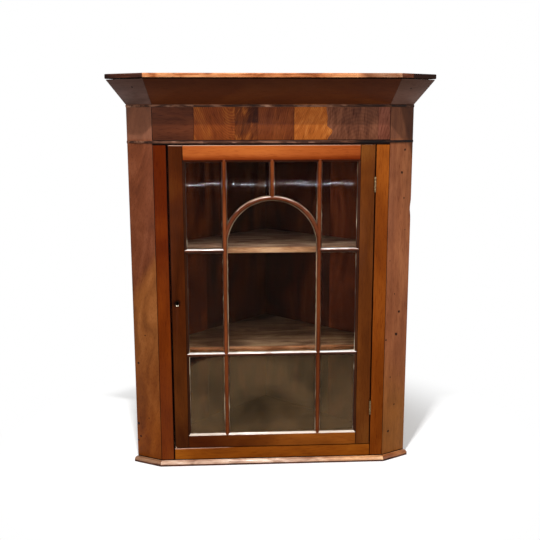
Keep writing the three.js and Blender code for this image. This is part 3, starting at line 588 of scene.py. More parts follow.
swell, settle = [
    add(tree, "ShaderNodeMapRange", [parts["Z"], high, low, 0.0, out], 0, interpolation_type="SMOOTHSTEP")
    for high, low, out in zip(CUT_BULGE_HEIGHTS, CUT_BULGE_HEIGHTS[1:], (CUT_BULGE, -CUT_BULGE))]
bulge = add(tree, "ShaderNodeMath", [swell, settle], 0, operation="ADD")
bulged = add(tree, "ShaderNodeMath", [parts["X"], bulge], 0, operation="SUBTRACT")
colour, level, pores = grain(tree, *VENEERS[0][1:])
for (edge, *_), leaf in zip(VENEERS, VENEERS[1:]):
    # The bright leaf's right-hand edge was cut along its figure, so it wanders and bulges; the rest are straight
    if edge == CUT_EDGE:
        past = beyond(tree, bulged, edge, CUT_EDGE_WANDER)
    else:
        past = beyond(tree, parts["X"], edge, LEAF_WANDER)
    leaf_colour, leaf_level, leaf_pores = grain(tree, *leaf[1:])
    colour = add(tree, "ShaderNodeMix", {0: past, 6: colour, 7: leaf_colour}, 2, data_type="RGBA")
    level = add(tree, "ShaderNodeMix", {0: past, 2: level, 3: leaf_level}, 0)
    pores = add(tree, "ShaderNodeMix", {0: past, 2: pores, 3: leaf_pores}, 0)
near_side = beyond(tree, parts["X"], *PATCH_LEFT)
far_side = beyond(tree, parts["X"], *PATCH_RIGHT)
above = beyond(tree, parts["Z"], *PATCH_FOOT)
inside = add(tree, "ShaderNodeMath", [near_side, far_side], 0, operation="SUBTRACT")
inside = add(tree, "ShaderNodeMath", [inside, above], 0, operation="MULTIPLY")
colour = add(tree, "ShaderNodeMix", {
    0: inside, 6: colour, 7: linear(PATCH_TINT),
}, 2, data_type="RGBA", blend_type="MULTIPLY")
for edge in [leaf[0] for leaf in VENEERS[:-1] if leaf[0] != CUT_EDGE] + [FRONT_HALF]:
    colour = seam(tree, colour, RIGHT, edge, *LEAF_SEAM)
for one in FRIEZE_STAINS:
    colour = stain(tree, colour, *one)
finish_wood(tree, colour, level, pores, roughness=0.38, specular=0.06)
eased("frieze", FRIEZE_ARRIS, [finish], "case")


# Plinth moulding. A small rounded moulding of solid mahogany, mitred round the foot of the case
# and pinned to it. Above its turn it is painted pale, as rubbed polish and a painted highlight, the front
# one palest, and under the turn it is painted dark as shade. The front one shines where it was dusted.
PLINTH_ARRIS = 0.0006
# Under this height the moulding's face turns in, and is painted dark as shade
PLINTH_TURN = 0.0052
SPLAY = math.atan2(0.037, 0.069)
RETURNS = {"front": 0.0, "left": -SPLAY, "right": SPLAY}
# Each length: its tones above the turn, which on the front are partly a painted highlight, its shine, and its stains
PLINTHS = {
    "front": (("#996e56", "#cea88e", "#f3dcc6"), 0.5, [(RIGHT, 0.02, 0.24, "#fce0b8")]),
    "left": (("#59331f", "#7b5238", "#916c51"), 0.2, []),
    "right": (("#6b371a", "#915831", "#ae774e"), 0.2, []),
}
PLINTH_GRAIN = {
    "lean": LYING, "heart": (0.0, -0.18, 0.03), "ring": 0.012, "weights": (0.06, 1.0, 1.8), "figure": 0.03,
}
for side, (tones, specular, stains) in PLINTHS.items():
    top = timber(f"highlit_mahogany_{side}_plinth", tones, roughness=0.28, specular=specular, turn=RETURNS[side],
                 stains=stains, **PLINTH_GRAIN)
    # Painted shade for the part under the turn
    under = timber(f"shaded_mahogany_{side}_plinth", ("#2c1810", "#503024", "#704838"), turn=RETURNS[side],
                   **PLINTH_GRAIN)
    eased(f"{side}_plinth_moulding", PLINTH_ARRIS, [top, under], "case",
          lambda centre, normal: int(centre.z < PLINTH_TURN))


# Two thin beads, glued and pinned round the case above and below the frieze. They are the most
# knocked part of the cupboard, with chips along their edges that show bare wood.
BEAD_GRAIN = (LYING, (0.1, -0.2, 0.9), 0.01)
# Each bead: how dark it is towards its right-hand end
BEADS = {"lower_bead": "#5c4c44", "upper_bead": "#a4988e"}
# The beads are cut into steps of this length, to have points for the chips to move
BEAD_STEP = 0.003
CHIP_DEPTH = 0.0009
# On the sides, which are less in the way, a chip has only this share of its depth
CHIP_ON_SIDES = 0.2
# Chips are where noise of this scale, 24 mm long and 6 mm high, is over CHIP_FROM, and full a fifth higher
CHIP_SCALE = 42.0
CHIP_FROM = 0.34
CHIP_GROWTH = 5
# What is nearer than this to the frieze isn't moved
BEAD_ROOT = 0.001
# The ends at the wall have been knocked nearly flush: where that starts, its run, and its share
BEAD_END = 0.350
BEAD_END_FADE = 0.014
BEAD_END_WORN = 0.85
BEAD_END_LEFT = 0.0004


def clamped(value):
    """The value, held between 0 and 1."""
    return max(0.0, min(1.0, value))


for node, dirt in BEADS.items():
    finish, tree = new_material(f"chipped_mahogany_{node}")
    polish, level, pores = grain(tree, ("#24120a", "#46281a", "#7a5440"), *BEAD_GRAIN, (0.1, 1.2, 2.0), figure=0.02)
    bare, _, _ = grain(tree, ("#5c3a2a", "#8c6450", "#b08c76"), *BEAD_GRAIN, (0.1, 1.0, 1.2))
    chip = add(tree, "ShaderNodeAttribute", output="Fac", attribute_name="chip")
    colour = add(tree, "ShaderNodeMix", {0: chip, 6: polish, 7: bare}, 2, data_type="RGBA")
    colour = stain(tree, colour, RIGHT, 0.20, 0.23, dirt, 0.2)
    finish_wood(tree, colour, level, pores, roughness=0.5, specular=0.1)

    shape = merged(node)
    long = [e for e in shape.edges if e.calc_length() > BEAD_STEP * 4]
    for edge_length in sorted({round(e.calc_length(), 4) for e in long}):
        same = [e for e in shape.edges if abs(e.calc_length() - edge_length) < 0.0001]
        bmesh.ops.subdivide_edges(shape, edges=same, cuts=int(edge_length / BEAD_STEP), use_grid_fill=True)
    chips = shape.verts.layers.float.new("chip")
    middle = sum((v.co.z for v in shape.verts), 0.0) / len(shape.verts)
    for v in shape.verts:
        rough = noise.noise(Vector((v.co.x * CHIP_SCALE, v.co.z * CHIP_SCALE * 4, middle * 7)))
        amount = clamped((rough - CHIP_FROM) * CHIP_GROWTH)
        v[chips] = amount
        # side is -1 on the left return, 1 on the right one and 0 in front
        side = 0.0 if abs(v.co.x) <= FRONT_HALF + 0.002 else math.copysign(1.0, v.co.x)
        if not side and v.co.y - FACE_FRONT > -BEAD_ROOT:
            continue
        inward = Vector((-side * math.sin(SPLAY), math.cos(SPLAY) if side else 1.0, 0.0))
        v.co += inward * (CHIP_DEPTH * amount * (CHIP_ON_SIDES if side else 1.0))
        proud = (v.co - Vector((side * FRONT_HALF, FACE_FRONT, 0.0))).dot(-inward) if side else 0.0
        if proud > BEAD_END_LEFT:
            v.co += inward * proud * BEAD_END_WORN * clamped((abs(v.co.x) - BEAD_END) / BEAD_END_FADE)
    stand_for(shape, node, "chipped", [finish], "case")


# Cornice. Three flat boards of mahogany stand out at a rake above the frieze, mitred at the
# corners and nailed. Three cap boards lie on them; the front one still has its orange polish.
CORNICE_ARRIS = 0.0012
CORNICE_NAILS = (((-0.3471, -0.1961, 1.0079), 0.0022), ((0.3497, -0.1912, 1.0047), 0.0020))
CORNICE_STAIN = (UP, 0.985, 1.020, "#c8c0b8", 0.3)
# The boards' outer top edges were planed to fit close under the caps: how much nearer they come, the
# heights between which the edge lies, where its mitre and its return run to, and the rake at each
CORNICE_CLOSER = 0.0057
CORNICE_EDGE = (1.0170, 1.0225)
CORNICE_MITRE = 0.3159
CORNICE_RETURN = 0.0941
MITRE_RUN = Vector((0.238, -0.953, 1.0))
WALL_RUN = Vector((0.704, -0.704, 1.0))
# The side boards' greyish tones are a painted reflection on their polish
CORNICE_TONES = {
    "front": ("#431f0f", "#4f2611", "#5c3116"),
    "left": ("#4c3a34", "#604a46", "#705854"),
    "right": ("#503c34", "#664c44", "#785c50"),
}
# Each cap: the tones of its edge, and its stains. The front one fades to the right, the left one
# darkens to the wall, and the right one is blackened but for its first third
CAPS = {
    "front": (("#7a3e1a", "#b36d41", "#d29464"), (RIGHT, 0.20, 0.235, "#ccdcfc", 0.5)),
    "left": (("#230e07", "#371a10", "#4d291b"), (LEFT, 0.395, 0.410, "#a8a4a8")),
    "right": (("#391b0f", "#542b19", "#6c3c24"), (RIGHT, 0.346, 0.352, "#605854", 0.4)),
}
CAP_NICKS = (
    ((-0.2444, -0.2345, 1.0290), 0.0016), ((-0.2248, -0.2345, 1.0288), 0.0017), ((-0.2410, -0.2345, 1.0390), 0.0014),
)
CAP_GRAIN = {"lean": LYING, "heart": (0.0, -0.2, 1.02), "ring": 0.01}
# What faces up or down, by the upward part of its normal, and what lies behind this plane isn't polished
CAP_LEVEL = 0.98
CAP_UNDERSIDE = -0.5
CAP_HIDDEN_FROM = -0.13


def cap_facet(centre, normal):
    """Finish 2, painted dark as shade, underneath; 1, dusty, on top and at the wall; 0, polished, on the edge."""
    if normal.z < CAP_UNDERSIDE:
        return 2
    return int(normal.z > CAP_LEVEL or centre.y > CAP_HIDDEN_FROM)


for side, turn in RETURNS.items():
    finish = timber(
        f"dark_mahogany_{side}_cornice", CORNICE_TONES[side], lean=LYING, heart=(0.1, -0.30, 0.90), ring=0.018,
        weights=(0.04, 0.12, 1.0), pore_tint="#e0d8d4", turn=turn, marks=CORNICE_NAILS, tint="#1c1410",
        stains=[CORNICE_STAIN])
    board = eased(f"{side}_cornice_board", CORNICE_ARRIS, [finish], "case")
    for v in board.data.vertices:
        if CORNICE_EDGE[0] < v.co.z < CORNICE_EDGE[1]:
            out = max(0.0, abs(v.co.x) - CORNICE_MITRE) / CORNICE_RETURN
            run = MITRE_RUN.lerp(WALL_RUN, min(1.0, out))
            sideways = v.co.x / CORNICE_MITRE if side == "front" else math.copysign(1.0, v.co.x)
            v.co += Vector((run.x * sideways, run.y, run.z)) * CORNICE_CLOSER
    tones, worn = CAPS[side]
    polished = timber(
        f"worn_mahogany_{side}_cap", tones, weights=(0.06, 1.2, 1.8), turn=turn, figure=0.03, stains=[worn],
        marks=CAP_NICKS, tint="#30180e", **CAP_GRAIN)
    dusty = timber(
        f"dusty_mahogany_{side}_cap_top", ("#4a3628", "#6a5442", "#86705c"), weights=(0.1, 0.8, 1.6),
        roughness=0.7, turn=turn, figure=0.05, **CAP_GRAIN)
    # The underside is painted near black as the shade under the cap
    under = timber(
        f"shadowed_mahogany_{side}_cap_underside", ("#120a06", "#20140d", "#302016"), weights=(0.1, 0.8, 1.6),
        roughness=0.7, specular=0.02, turn=turn, figure=0.05, **CAP_GRAIN)
    eased(f"{side}_cap_board", CORNICE_ARRIS, [polished, dusty, under], "case", cap_facet)


# Door frame. Two stiles and two rails of mahogany, tenoned together, with an ovolo worked on their
# inner edges and mitred at the corners. The stiles are dark, and the top rail is bright orange.
DOOR_ARRIS = 0.0008
SIGHT_HALF = 0.2287
SIGHT_FOOT = 0.0820
SIGHT_HEAD = 0.8275
DOOR_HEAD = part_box("door_top_rail")[1][2] - 0.0012
# The ovolo lies in front of this plane
OVOLO_BACK = -0.16
KEYHOLE = (-0.2520, FACE_FRONT, 0.454)
KEYHOLE_GRIME = ((KEYHOLE, 0.010), (KEYHOLE, 0.0048))
DOOR_FRAME = {
    "door_left_stile": (("#3e1d07", "#5a2d0d", "#78491a"), UPRIGHT, (-0.22, 0.02, 0.4), "dark_mahogany"),
    "door_right_stile": (("#441f08", "#5d2f0e", "#75451a"), UPRIGHT, (0.28, 0.01, 0.5), "dark_mahogany"),
    "door_top_rail": (("#863c14", "#a05221", "#b8672c"), LYING, (0.1, 0.00, 0.80), "amber_mahogany"),
    "door_bottom_rail": (("#542710", "#773f11", "#925119"), LYING, (-0.1, 0.00, 0.10), "red_mahogany"),
}
# The ovolo's tones, shine and roughness. On the bottom rail, where it faces up, it is painted near white as
# a highlight, and elsewhere it is painted dark as shade. Along its back there, where it meets the glass, the painted
# highlight is toned down
OVOLO_LIGHT_AND_SHADE = {
    "door_left_stile": (("#200e06", "#341808", "#4c2610"), 0.05, 0.45),
    "door_right_stile": (("#241008", "#3a1c0e", "#523018"), 0.05, 0.40),
    "door_top_rail": (("#2e1208", "#4a200c", "#643214"), 0.06, 0.45),
    "door_bottom_rail": (("#a89484", "#d4c4b4", "#ece0d2"), 1.0, 0.22),
}
OVOLO_HIGHLIGHT_TRIM = (UP, 0.0866, 0.0873, "#7c6c5c", 0.1)
# A pale chip at the door's lower left corner, where it has been caught on the bottom rail
DOOR_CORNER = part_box("door_left_stile")[0]
DOOR_CHIP_AT = -DOOR_CORNER[0] - DOOR_CORNER[2] - 0.0068
DOOR_CHIP = ((-1.0, 0.0, -1.0), DOOR_CHIP_AT, DOOR_CHIP_AT + 0.0008, "#d8bca4", 0.2, "MIX")
# A highlight is painted along the door's top edge, which faces up
DOOR_TOP_HIGHLIGHT = (UP, 0.8628, 0.8640, "#c8a08c", 0.2, "MIX")
# It is darker up and down the left stile, towards the left of the bottom rail, and along the top
# rail's foot and right-hand end
DOOR_STAINS = {
    "door_left_stile": [
        (UP, 0.16, 0.42, "#ccb4a4"), (UP, 0.17, 0.07, "#b8acb8"), DOOR_TOP_HIGHLIGHT, DOOR_CHIP,
    ],
    "door_right_stile": [],
    "door_bottom_rail": [(RIGHT, 0.09, -0.17, "#9c8484")],
    "door_top_rail": [DOOR_TOP_HIGHLIGHT, (UP, 0.842, 0.828, "#c8a898", 0.3), (RIGHT, 0.12, 0.22, "#dccabc")],
}
INSIDE_SIGHT = {
    "door_left_stile": lambda at: at.x > -SIGHT_HALF,
    "door_right_stile": lambda at: at.x < SIGHT_HALF,
    "door_top_rail": lambda at: at.z < SIGHT_HEAD,
    "door_bottom_rail": lambda at: at.z > SIGHT_FOOT,
}
# Dirt lies in the joints of stiles and rails, along the door's left edge and over the bottom rail
DOOR_SEAMS = [
    (RIGHT, SIGHT_HALF, 0.0012), (LEFT, SIGHT_HALF, 0.0012), (LEFT, 0.2660, 0.0022), (UP, 0.0480, 0.0014),
]
for node, (tones, lean, heart, slot) in DOOR_FRAME.items():
    flat = timber(
        f"polished_mahogany_{node}", tones, lean=lean, heart=heart, ring=0.011, roughness=0.34,
        specular=0.025, weights=(0.06, 0.25, 1.0), pore_tint="#e2d6ce", seams=DOOR_SEAMS,
        marks=KEYHOLE_GRIME if node == "door_left_stile" else (), tint="#7a5c4c", stains=DOOR_STAINS[node])
    tones, specular, roughness = OVOLO_LIGHT_AND_SHADE[node]
    # The ovolo's finish is a painted highlight on the bottom rail and painted shade on the rest
    moulded = timber(
        f"polished_mahogany_{node}_ovolo", tones, lean=lean, heart=heart, ring=0.011, roughness=roughness,
        specular=specular, stains=[OVOLO_HIGHLIGHT_TRIM] if node == "door_bottom_rail" else ())
    # Painted highlight for the arris along the door's top
    highlit_arris = timber(
        f"highlit_mahogany_{node}_arris", ("#7c5038", "#b08468", "#d0a88c"), lean=lean, heart=heart, ring=0.011,
        weights=(0.05, 0.8, 2.0), figure=0.02)

    def door_facet(centre, normal, within=INSIDE_SIGHT[node]):
        """Finish 1 on the ovolo; 2, a painted highlight, on the arris along the door's top; 0 on the rest."""
        if centre.z > DOOR_HEAD and 0.2 < normal.z < 0.98 and normal.y < 0:
            return 2
        return int(within(centre) and centre.y < OVOLO_BACK)

    eased(node, DOOR_ARRIS, [flat, moulded, highlit_arris], "door", door_facet)


# Glazing bars. Each is an astragal of mahogany with a rounded nose in front and a thin rib behind,
# scribed over its neighbours. The arch was cut from the solid in short lengths and glued.
BAR_ARRIS = 0.0003
GLASS_FRONT = FACE_FRONT + 0.0085
BAR_TONES = ("#4c1f0d", "#673115", "#854725")
# Tones of the highlight painted on the bars' upward facets, and of the shade painted on their downward ones
BAR_HIGHLIGHT = ("#b8a498", "#ece4de", "#fcf8f4")
BAR_SHADE = ("#241008", "#3a1c0e", "#52301c")
ARCH_TONES = ("#421b0f", "#5b2c17", "#754029")
ARCH_HIGHLIGHT = ("#886050", "#c0a090", "#e4d4ca")


def bar_facet(centre, normal, bright_over=0.35, dark_under=-0.35):
    """Finish 1, a painted highlight, on what faces up; 2, painted shade, on what faces down; 0 on the rest."""
    if centre.y > GLASS_FRONT:
        return 0
    return 1 if normal.z > bright_over else 2 if normal.z < dark_under else 0


def crossbar_facet(centre, normal):
    """The same, but a crossbar's whole lower half is painted dark as shade."""
    return bar_facet(centre, normal, 0.35, 0.2)


def arch_facet(centre, normal):
    """The same, but the arch's painted highlight lies along its crest alone."""
    return bar_facet(centre, normal, 0.62, -0.5)


# Each kind of bar: its fibre's lean, its tones, those of the highlight painted on its top and their shine, and its
# facets
BAR_KINDS = {
    "upright": (UPRIGHT, BAR_TONES, BAR_HIGHLIGHT, 1.0, bar_facet),
    "arch": (LYING, ARCH_TONES, ARCH_HIGHLIGHT, 0.8, arch_facet),
    "cross": (LYING, BAR_TONES, BAR_HIGHLIGHT, 1.0, crossbar_facet),
}
BARS = {
    "left_upright_bar": "upright", "right_upright_bar": "upright", "centre_bar": "upright", "arch_bar": "arch",
    "upper_left_crossbar": "cross", "upper_right_crossbar": "cross",
    "lower_left_crossbar": "cross", "lower_centre_crossbar": "cross", "lower_right_crossbar": "cross",
}
for index, (node, kind) in enumerate(BARS.items()):
    lean, tones, highlight_tones, shine, facet = BAR_KINDS[kind]
    fibre = {"lean": lean, "heart": (0.05 * index, 0.0, 0.3), "ring": 0.007}
    plain = timber(
        f"polished_mahogany_{node}", tones, weights=(0.06, 0.6, 1.2), roughness=0.3, specular=0.035, **fibre)
    bright = timber(
        f"highlit_mahogany_{node}", highlight_tones, weights=(0.06, 0.6, 2.0), roughness=0.22, specular=shine,
        figure=0.03, **fibre)
    dark = timber(
        f"shaded_mahogany_{node}", BAR_SHADE, weights=(0.06, 0.6, 1.2), roughness=0.45, specular=0.1, **fibre)
    eased(node, BAR_ARRIS, [plain, bright, dark], "door", facet)


# Glass. Ten panes of old blown sheet, not quite flat, so that what is behind them and what they
# reflect waves a little. They are held in their rebates by putty.
PANE_ROUGHNESS = 0.015
# The sheet was drawn out lengthwise, so its ripple is longer upwards than across
PANE_DRAWN = (1.0, 1.0, 0.40)
# Each row: its panes, its index, how clear it is, how high its ripple is, and its film's tones where
# it is thick and thin. Real glass has an index of 1.5. In the photograph only the bottom row, which
# mirrors the floor, shows its gloss, and dust and smoke have turned it the most
PANE_ROWS = {
    "top": (
        ("top_left_pane", "top_right_pane", "left_spandrel_pane", "right_spandrel_pane", "arch_pane"),
        1.09, 1.0, 0.0009, ("#e6ded4", "#e6ded4")),
    "middle": (
        ("middle_left_pane", "middle_right_pane"),
        1.08, 0.998, 0.0006, ("#c8bcae", "#dccfc0")),
    "bottom": (
        ("bottom_left_pane", "bottom_centre_pane", "bottom_right_pane"),
        1.14, 0.93, 0.0004, ("#a08862", "#d4b488")),
}
# Greasy smudges on the bottom row: two low in its middle pane, and one along the top of its left pane
SMUDGES = {"bottom": [
    ([((-0.050, -0.166, 0.152), 0.034), ((0.000, -0.166, 0.162), 0.046), ((0.055, -0.166, 0.150), 0.030)], "#dedace"),
    ([((-0.221, -0.166, 0.294), 0.015), ((-0.205, -0.166, 0.301), 0.014), ((-0.186, -0.166, 0.304), 0.011),
      ((-0.168, -0.166, 0.306), 0.008)], "#9c7864"),
]}
for row, (panes, ior, clear, wave, (thick, thin)) in PANE_ROWS.items():
    glass, tree = new_material(f"blown_glass_{row}_row")
    where = add(tree, "ShaderNodeTexCoord", output="Object")
    # The ripple of blown sheet is about 55 mm across
    drawn = add(tree, "ShaderNodeVectorMath", [where, PANE_DRAWN], "Vector", operation="MULTIPLY")
    ripple = add(tree, "ShaderNodeTexNoise", {"Vector": drawn, "Scale": 18.0, "Detail": 0.5, "Distortion": 0.3}, 0)
    # The film lies in clouds of about 140 mm, as a cloth left it
    film = add(tree, "ShaderNodeTexNoise", {
        "Vector": where, "Scale": 7.0, "Detail": 3.0, "Roughness": 0.55, "Distortion": 0.8,
    }, 0)
    tone = add(tree, "ShaderNodeValToRGB", [film], 0, stops=[(0.34, thick), (0.60, thin)])
    for marks, tint in SMUDGES.get(row, ()):
        tone = spots(tree, tone, marks, tint)
    bump = add(tree, "ShaderNodeBump", {"Height": ripple, "Strength": 0.6, "Distance": wave}, "Normal")
    fill(tree, tree.nodes["Principled BSDF"], {
        "Base Color": tone, "Normal": bump, "Roughness": PANE_ROUGHNESS, "IOR": ior, "Transmission Weight": clear,
    })
    for node in panes:
        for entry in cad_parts[node].material_slots:
            entry.material = glass


# Putty. A fillet of linseed putty holds each pane from behind, and a thin smear of it shows in
# front, where the pane was bedded. It was struck off by hand, so it is uneven, chipped and dirty.
PUTTY_REACH = 0.0050
PUTTY_RISE = 0.0060
REBATE_GAP = 0.0008
SMEAR_WIDTH = 0.0009
SMEAR_RISE = 0.0009
# How far the hand strayed in striking off the fillets and the smears
FILLET_UNEVEN = 0.0012
SMEAR_UNEVEN = 0.0003
OUTLINE_STEP = 0.004
BAR_COVER = 0.0031
FRAME_COVER = 0.0050
# The door's opening as (left, right, foot, head), with the ovolo's width at foot and head
SIGHT_BOX = (-SIGHT_HALF, SIGHT_HALF, 0.0760, 0.8335)
# How much of the smear is clean, from 0 to 1: all of it round the arch's light, and less elsewhere
SMEAR_LEFT = {"arch_pane": 1.0, "bottom_left_pane": 0.6, "bottom_centre_pane": 0.4}
SMEAR_ELSEWHERE = 0.2
FILLET_CLEAN = 1.1


def pane_outline(node):
    """The pane's outline as (x, z) points in order, with its front and back planes."""
    shape = merged(node)
    front = max((face for face in shape.faces if face.normal.y < -0.9), key=lambda face: face.calc_area())
    points = [Vector((loop.vert.co.x, loop.vert.co.z)) for loop in front.loops]
    planes = (min(v.co.y for v in shape.verts), max(v.co.y for v in shape.verts))
    shape.free()
    turn = sum(a.x * b.y - b.x * a.y for a, b in zip(points, points[1:] + points[:1]))
    return (points if turn > 0 else points[::-1]), planes


def cover(start, end):
    """How far the wood in front covers a pane along this edge: a bar's nose, or the frame's ovolo."""
    middle = (start + end) / 2
    low_x, high_x, low_z, high_z = SIGHT_BOX
    edge = min(middle.x - low_x, high_x - middle.x, middle.y - low_z, high_z - middle.y)
    return FRAME_COVER if edge < FRAME_COVER else BAR_COVER


def inset(points, reaches):
    """The outline moved inwards, each edge by its own reach, and never past the middle of a narrow corner."""
    count = len(points)
    moved = []
    for i, here in enumerate(points):
        before = (here - points[i - 1]).normalized()
        after = (points[(i + 1) % count] - here).normalized()
        normals = [Vector((-way.y, way.x)) for way in (before, after)]
        first, second = reaches[i - 1], reaches[i]
        bend = normals[0].cross(normals[1])
        if abs(bend) < 0.05:
            step = (normals[0] + normals[1]).normalized() * (first + second) / 2
        else:
            step = Vector((first * normals[1].y - second * normals[0].y,
                           second * normals[0].x - first * normals[1].x)) / bend
        # The corner moves at most nearly half-way to the first edge that it would cross
        room = 1.0
        for j, corner in enumerate(points):
            side = points[(j + 1) % count] - corner
            down = step.cross(side)
            if i in (j, (j + 1) % count) or abs(down) < 1e-12:
                continue
            along = (corner - here).cross(side) / down
            crossing = (corner - here).cross(step) / down
            if along > 0 and -0.01 <= crossing <= 1.01:
                room = min(room, along * 0.45)
        moved.append(here + step * room)
    return moved


def walked(points):
    """The outline with a point every few millimetres."""
    fine = []
    for start, end in zip(points, points[1:] + points[:1]):
        cuts = max(1, round((end - start).length / OUTLINE_STEP))
        fine += [start.lerp(end, i / cuts) for i in range(cuts)]
    return fine


def putty_ring(name, rims, finish, worn):
    """A closed ring through rims of (outline, depth), its inner edge worn back unevenly."""
    shape = bmesh.new()
    rings = []
    for rim, (points, depth) in enumerate(rims):
        ring = []
        for home, point in zip(rims[0][0], points):
            wave = noise.noise(Vector((point.x * 90, point.y * 90, rim * 5.0 + depth)))
            shift = worn * wave if rim == len(rims) - 1 else 0.0
            inward = (point - home).normalized() if (point - home).length > 1e-6 else Vector((0.0, 0.0))
            point = point + inward * shift
            ring.append(shape.verts.new((point.x, depth, point.y)))
        rings.append(ring)
    for one, other in zip(rings, rings[1:] + rings[:1]):
        for i in range(len(one)):
            k = (i + 1) % len(one)
            shape.faces.new((one[i], one[k], other[k], other[i]))
    bmesh.ops.recalc_face_normals(shape, faces=shape.faces)
    mesh = bpy.data.meshes.new(name)
    shape.to_mesh(mesh)
    shape.free()
    mesh.materials.append(finish)
    piece = put(name, mesh)
    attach(piece, "door")


def putty_finish(name, clean):
    """Dry putty, chalky where it is clean, and brown with dirt and old polish where it isn't."""
    material, tree = new_material(name)
    where = add(tree, "ShaderNodeTexCoord", output="Object")
    # The dirt is in patches of about 70 mm
    patch = add(tree, "ShaderNodeTexNoise", {"Vector": where, "Scale": 14.0, "Detail": 3.0, "Roughness": 0.6}, 0)
    dirt = add(tree, "ShaderNodeMapRange", [patch, 0.22 + clean * 0.30, 0.42 + clean * 0.30], 0)
    chalk = add(tree, "ShaderNodeValToRGB", [patch], 0, stops=[(0.3, "#f0e2c8"), (0.5, "#d0b898"), (0.7, "#9c846c")])
    # It is browner round the arch, which no duster reaches into
    tone = add(tree, "ShaderNodeMix", {0: dirt, 6: chalk, 7: linear("#3a241a")}, 2, data_type="RGBA")
    tone = stain(tree, tone, UP, 0.66, 0.73, "#ac9884", 0.3)
    # Its chalk is too fine to see, so its crumbs are drawn 1 mm across
    crumbs = add(tree, "ShaderNodeTexNoise", {"Vector": where, "Scale": 900.0, "Detail": 2.0}, 0)
    bump = add(tree, "ShaderNodeBump", {"Height": crumbs, "Strength": 0.5, "Distance": 0.0002}, "Normal")
    fill(tree, tree.nodes["Principled BSDF"], {"Base Color": tone, "Normal": bump, "Roughness": 0.8})
    return material


fillet_putty = putty_finish("linseed_putty_fillets", FILLET_CLEAN)
for panes, *_ in PANE_ROWS.values():
    for node in panes:
        points, (front, back) = pane_outline(node)
        covers = [cover(a, b) for a, b in zip(points, points[1:] + points[:1])]
        fine = walked(points)
        grown = inset(fine, [-REBATE_GAP] * len(fine))
        inner = inset(fine, [PUTTY_REACH] * len(fine))
        putty_ring(f"{node}_putty_fillet", [(fine, back), (grown, back + PUTTY_RISE), (inner, back)],
                   fillet_putty, FILLET_UNEVEN)
        sight = walked(inset(points, covers))
        reach = inset(sight, [SMEAR_WIDTH] * len(sight))
        smear = putty_finish(f"linseed_putty_smear_{node}", SMEAR_LEFT.get(node, SMEAR_ELSEWHERE))
        putty_ring(f"{node}_putty_smear", [(sight, front), (sight, front - SMEAR_RISE), (reach, front)],
                   smear, SMEAR_UNEVEN)


# Hinges. Two brass butts with five knuckles, let into the door and the face stile. The brass has
# gone brown.
METAL_ARRIS = 0.0002
brass, tree = new_material("tarnished_brass")
where = add(tree, "ShaderNodeTexCoord", output="Object")
# Tarnish is in specks of about 6 mm, and what is darker is duller too
tarnish = add(tree, "ShaderNodeTexNoise", {"Vector": where, "Scale": 180.0, "Detail": 4.0, "Roughness": 0.6}, 0)
tone = add(tree, "ShaderNodeValToRGB", [tarnish], 0, stops=[(0.3, "#3a2a1a"), (0.5, "#66523a"), (0.72, "#988462")])
dull = add(tree, "ShaderNodeMapRange", [tarnish, 0.3, 0.7, 0.5, 0.28], 0)
pits = add(tree, "ShaderNodeBump", {"Height": tarnish, "Strength": 0.3, "Distance": PIT_DEPTH}, "Normal")
fill(tree, tree.nodes["Principled BSDF"], {"Base Color": tone, "Roughness": dull, "Normal": pits, "Metallic": 1.0})
for place in ("upper", "lower"):
    for part, body in (("frame_leaf", "case"), ("door_leaf", "door"), ("pin", "case")):
        eased(f"{place}_hinge_{part}", METAL_ARRIS, [brass], body)


# Lock. A steel case screwed to the back of the stile, its brass bolt, the brass plate that the
# bolt goes behind, and a brass lining let into the keyhole.
LOCK_ARRIS = 0.0004
steel = iron("old_pressed_steel")
# What shows of the lock through the keyhole is painted near black as the shade inside the hole, in blotches of about
# 11 mm
keyhole_black, tree = new_material("keyhole_shade_steel")
where = add(tree, "ShaderNodeTexCoord", output="Object")
blotches = add(tree, "ShaderNodeTexNoise", {"Vector": where, "Scale": 90.0, "Detail": 3.0}, 0)
tone = add(tree, "ShaderNodeValToRGB", [blotches], 0, stops=[(0.4, "#060403"), (0.7, "#14100c")])
fill(tree, tree.nodes["Principled BSDF"], {"Base Color": tone, "Roughness": 0.6, "Specular IOR Level": 0.1})
eased("lock_case", LOCK_ARRIS, [steel, keyhole_black], "door", lambda centre, normal: int(normal.y < -0.5))
eased("lock_bolt", LOCK_ARRIS, [brass], "bolt")
eased("strike_plate", METAL_ARRIS, [brass], "case")
# The lining has gone dark brown, in specks of about 4 mm
bronzed, tree = new_material("bronzed_brass_lining")
where = add(tree, "ShaderNodeTexCoord", output="Object")
grime = add(tree, "ShaderNodeTexNoise", {"Vector": where, "Scale": 260.0, "Detail": 3.0}, 0)
tone = add(tree, "ShaderNodeValToRGB", [grime], 0, stops=[(0.35, "#0c0805"), (0.6, "#1c140c"), (0.8, "#4a3c2a")])
# The key has rubbed the foot of the hole bright, and a glint is painted on it there, nearly white
KEYHOLE_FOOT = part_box("escutcheon")[0][2] + 0.0032
tone = stain(tree, tone, DOWN, -KEYHOLE_FOOT, 0.0008 - KEYHOLE_FOOT, "#e8dcc4", 0.3, "MIX")
fill(tree, tree.nodes["Principled BSDF"], {"Base Color": tone, "Metallic": 1.0, "Roughness": 0.4})
eased("escutcheon", METAL_ARRIS, [bronzed], "door")


# Screws. Slotted brass ones hold the hinges and the strike plate, and steel ones the lock. The same
# geometry nodes as for the nails set out each group.
SCREW_PROUD = 0.00015
SCREW_IN = HEAD_DEPTH / 2 - SCREW_PROUD
HINGE_SCREW_SPREAD = 0.012
HINGE_HEIGHTS = (0.7626, 0.1536)
HINGE_SCREW_Y = -0.1665
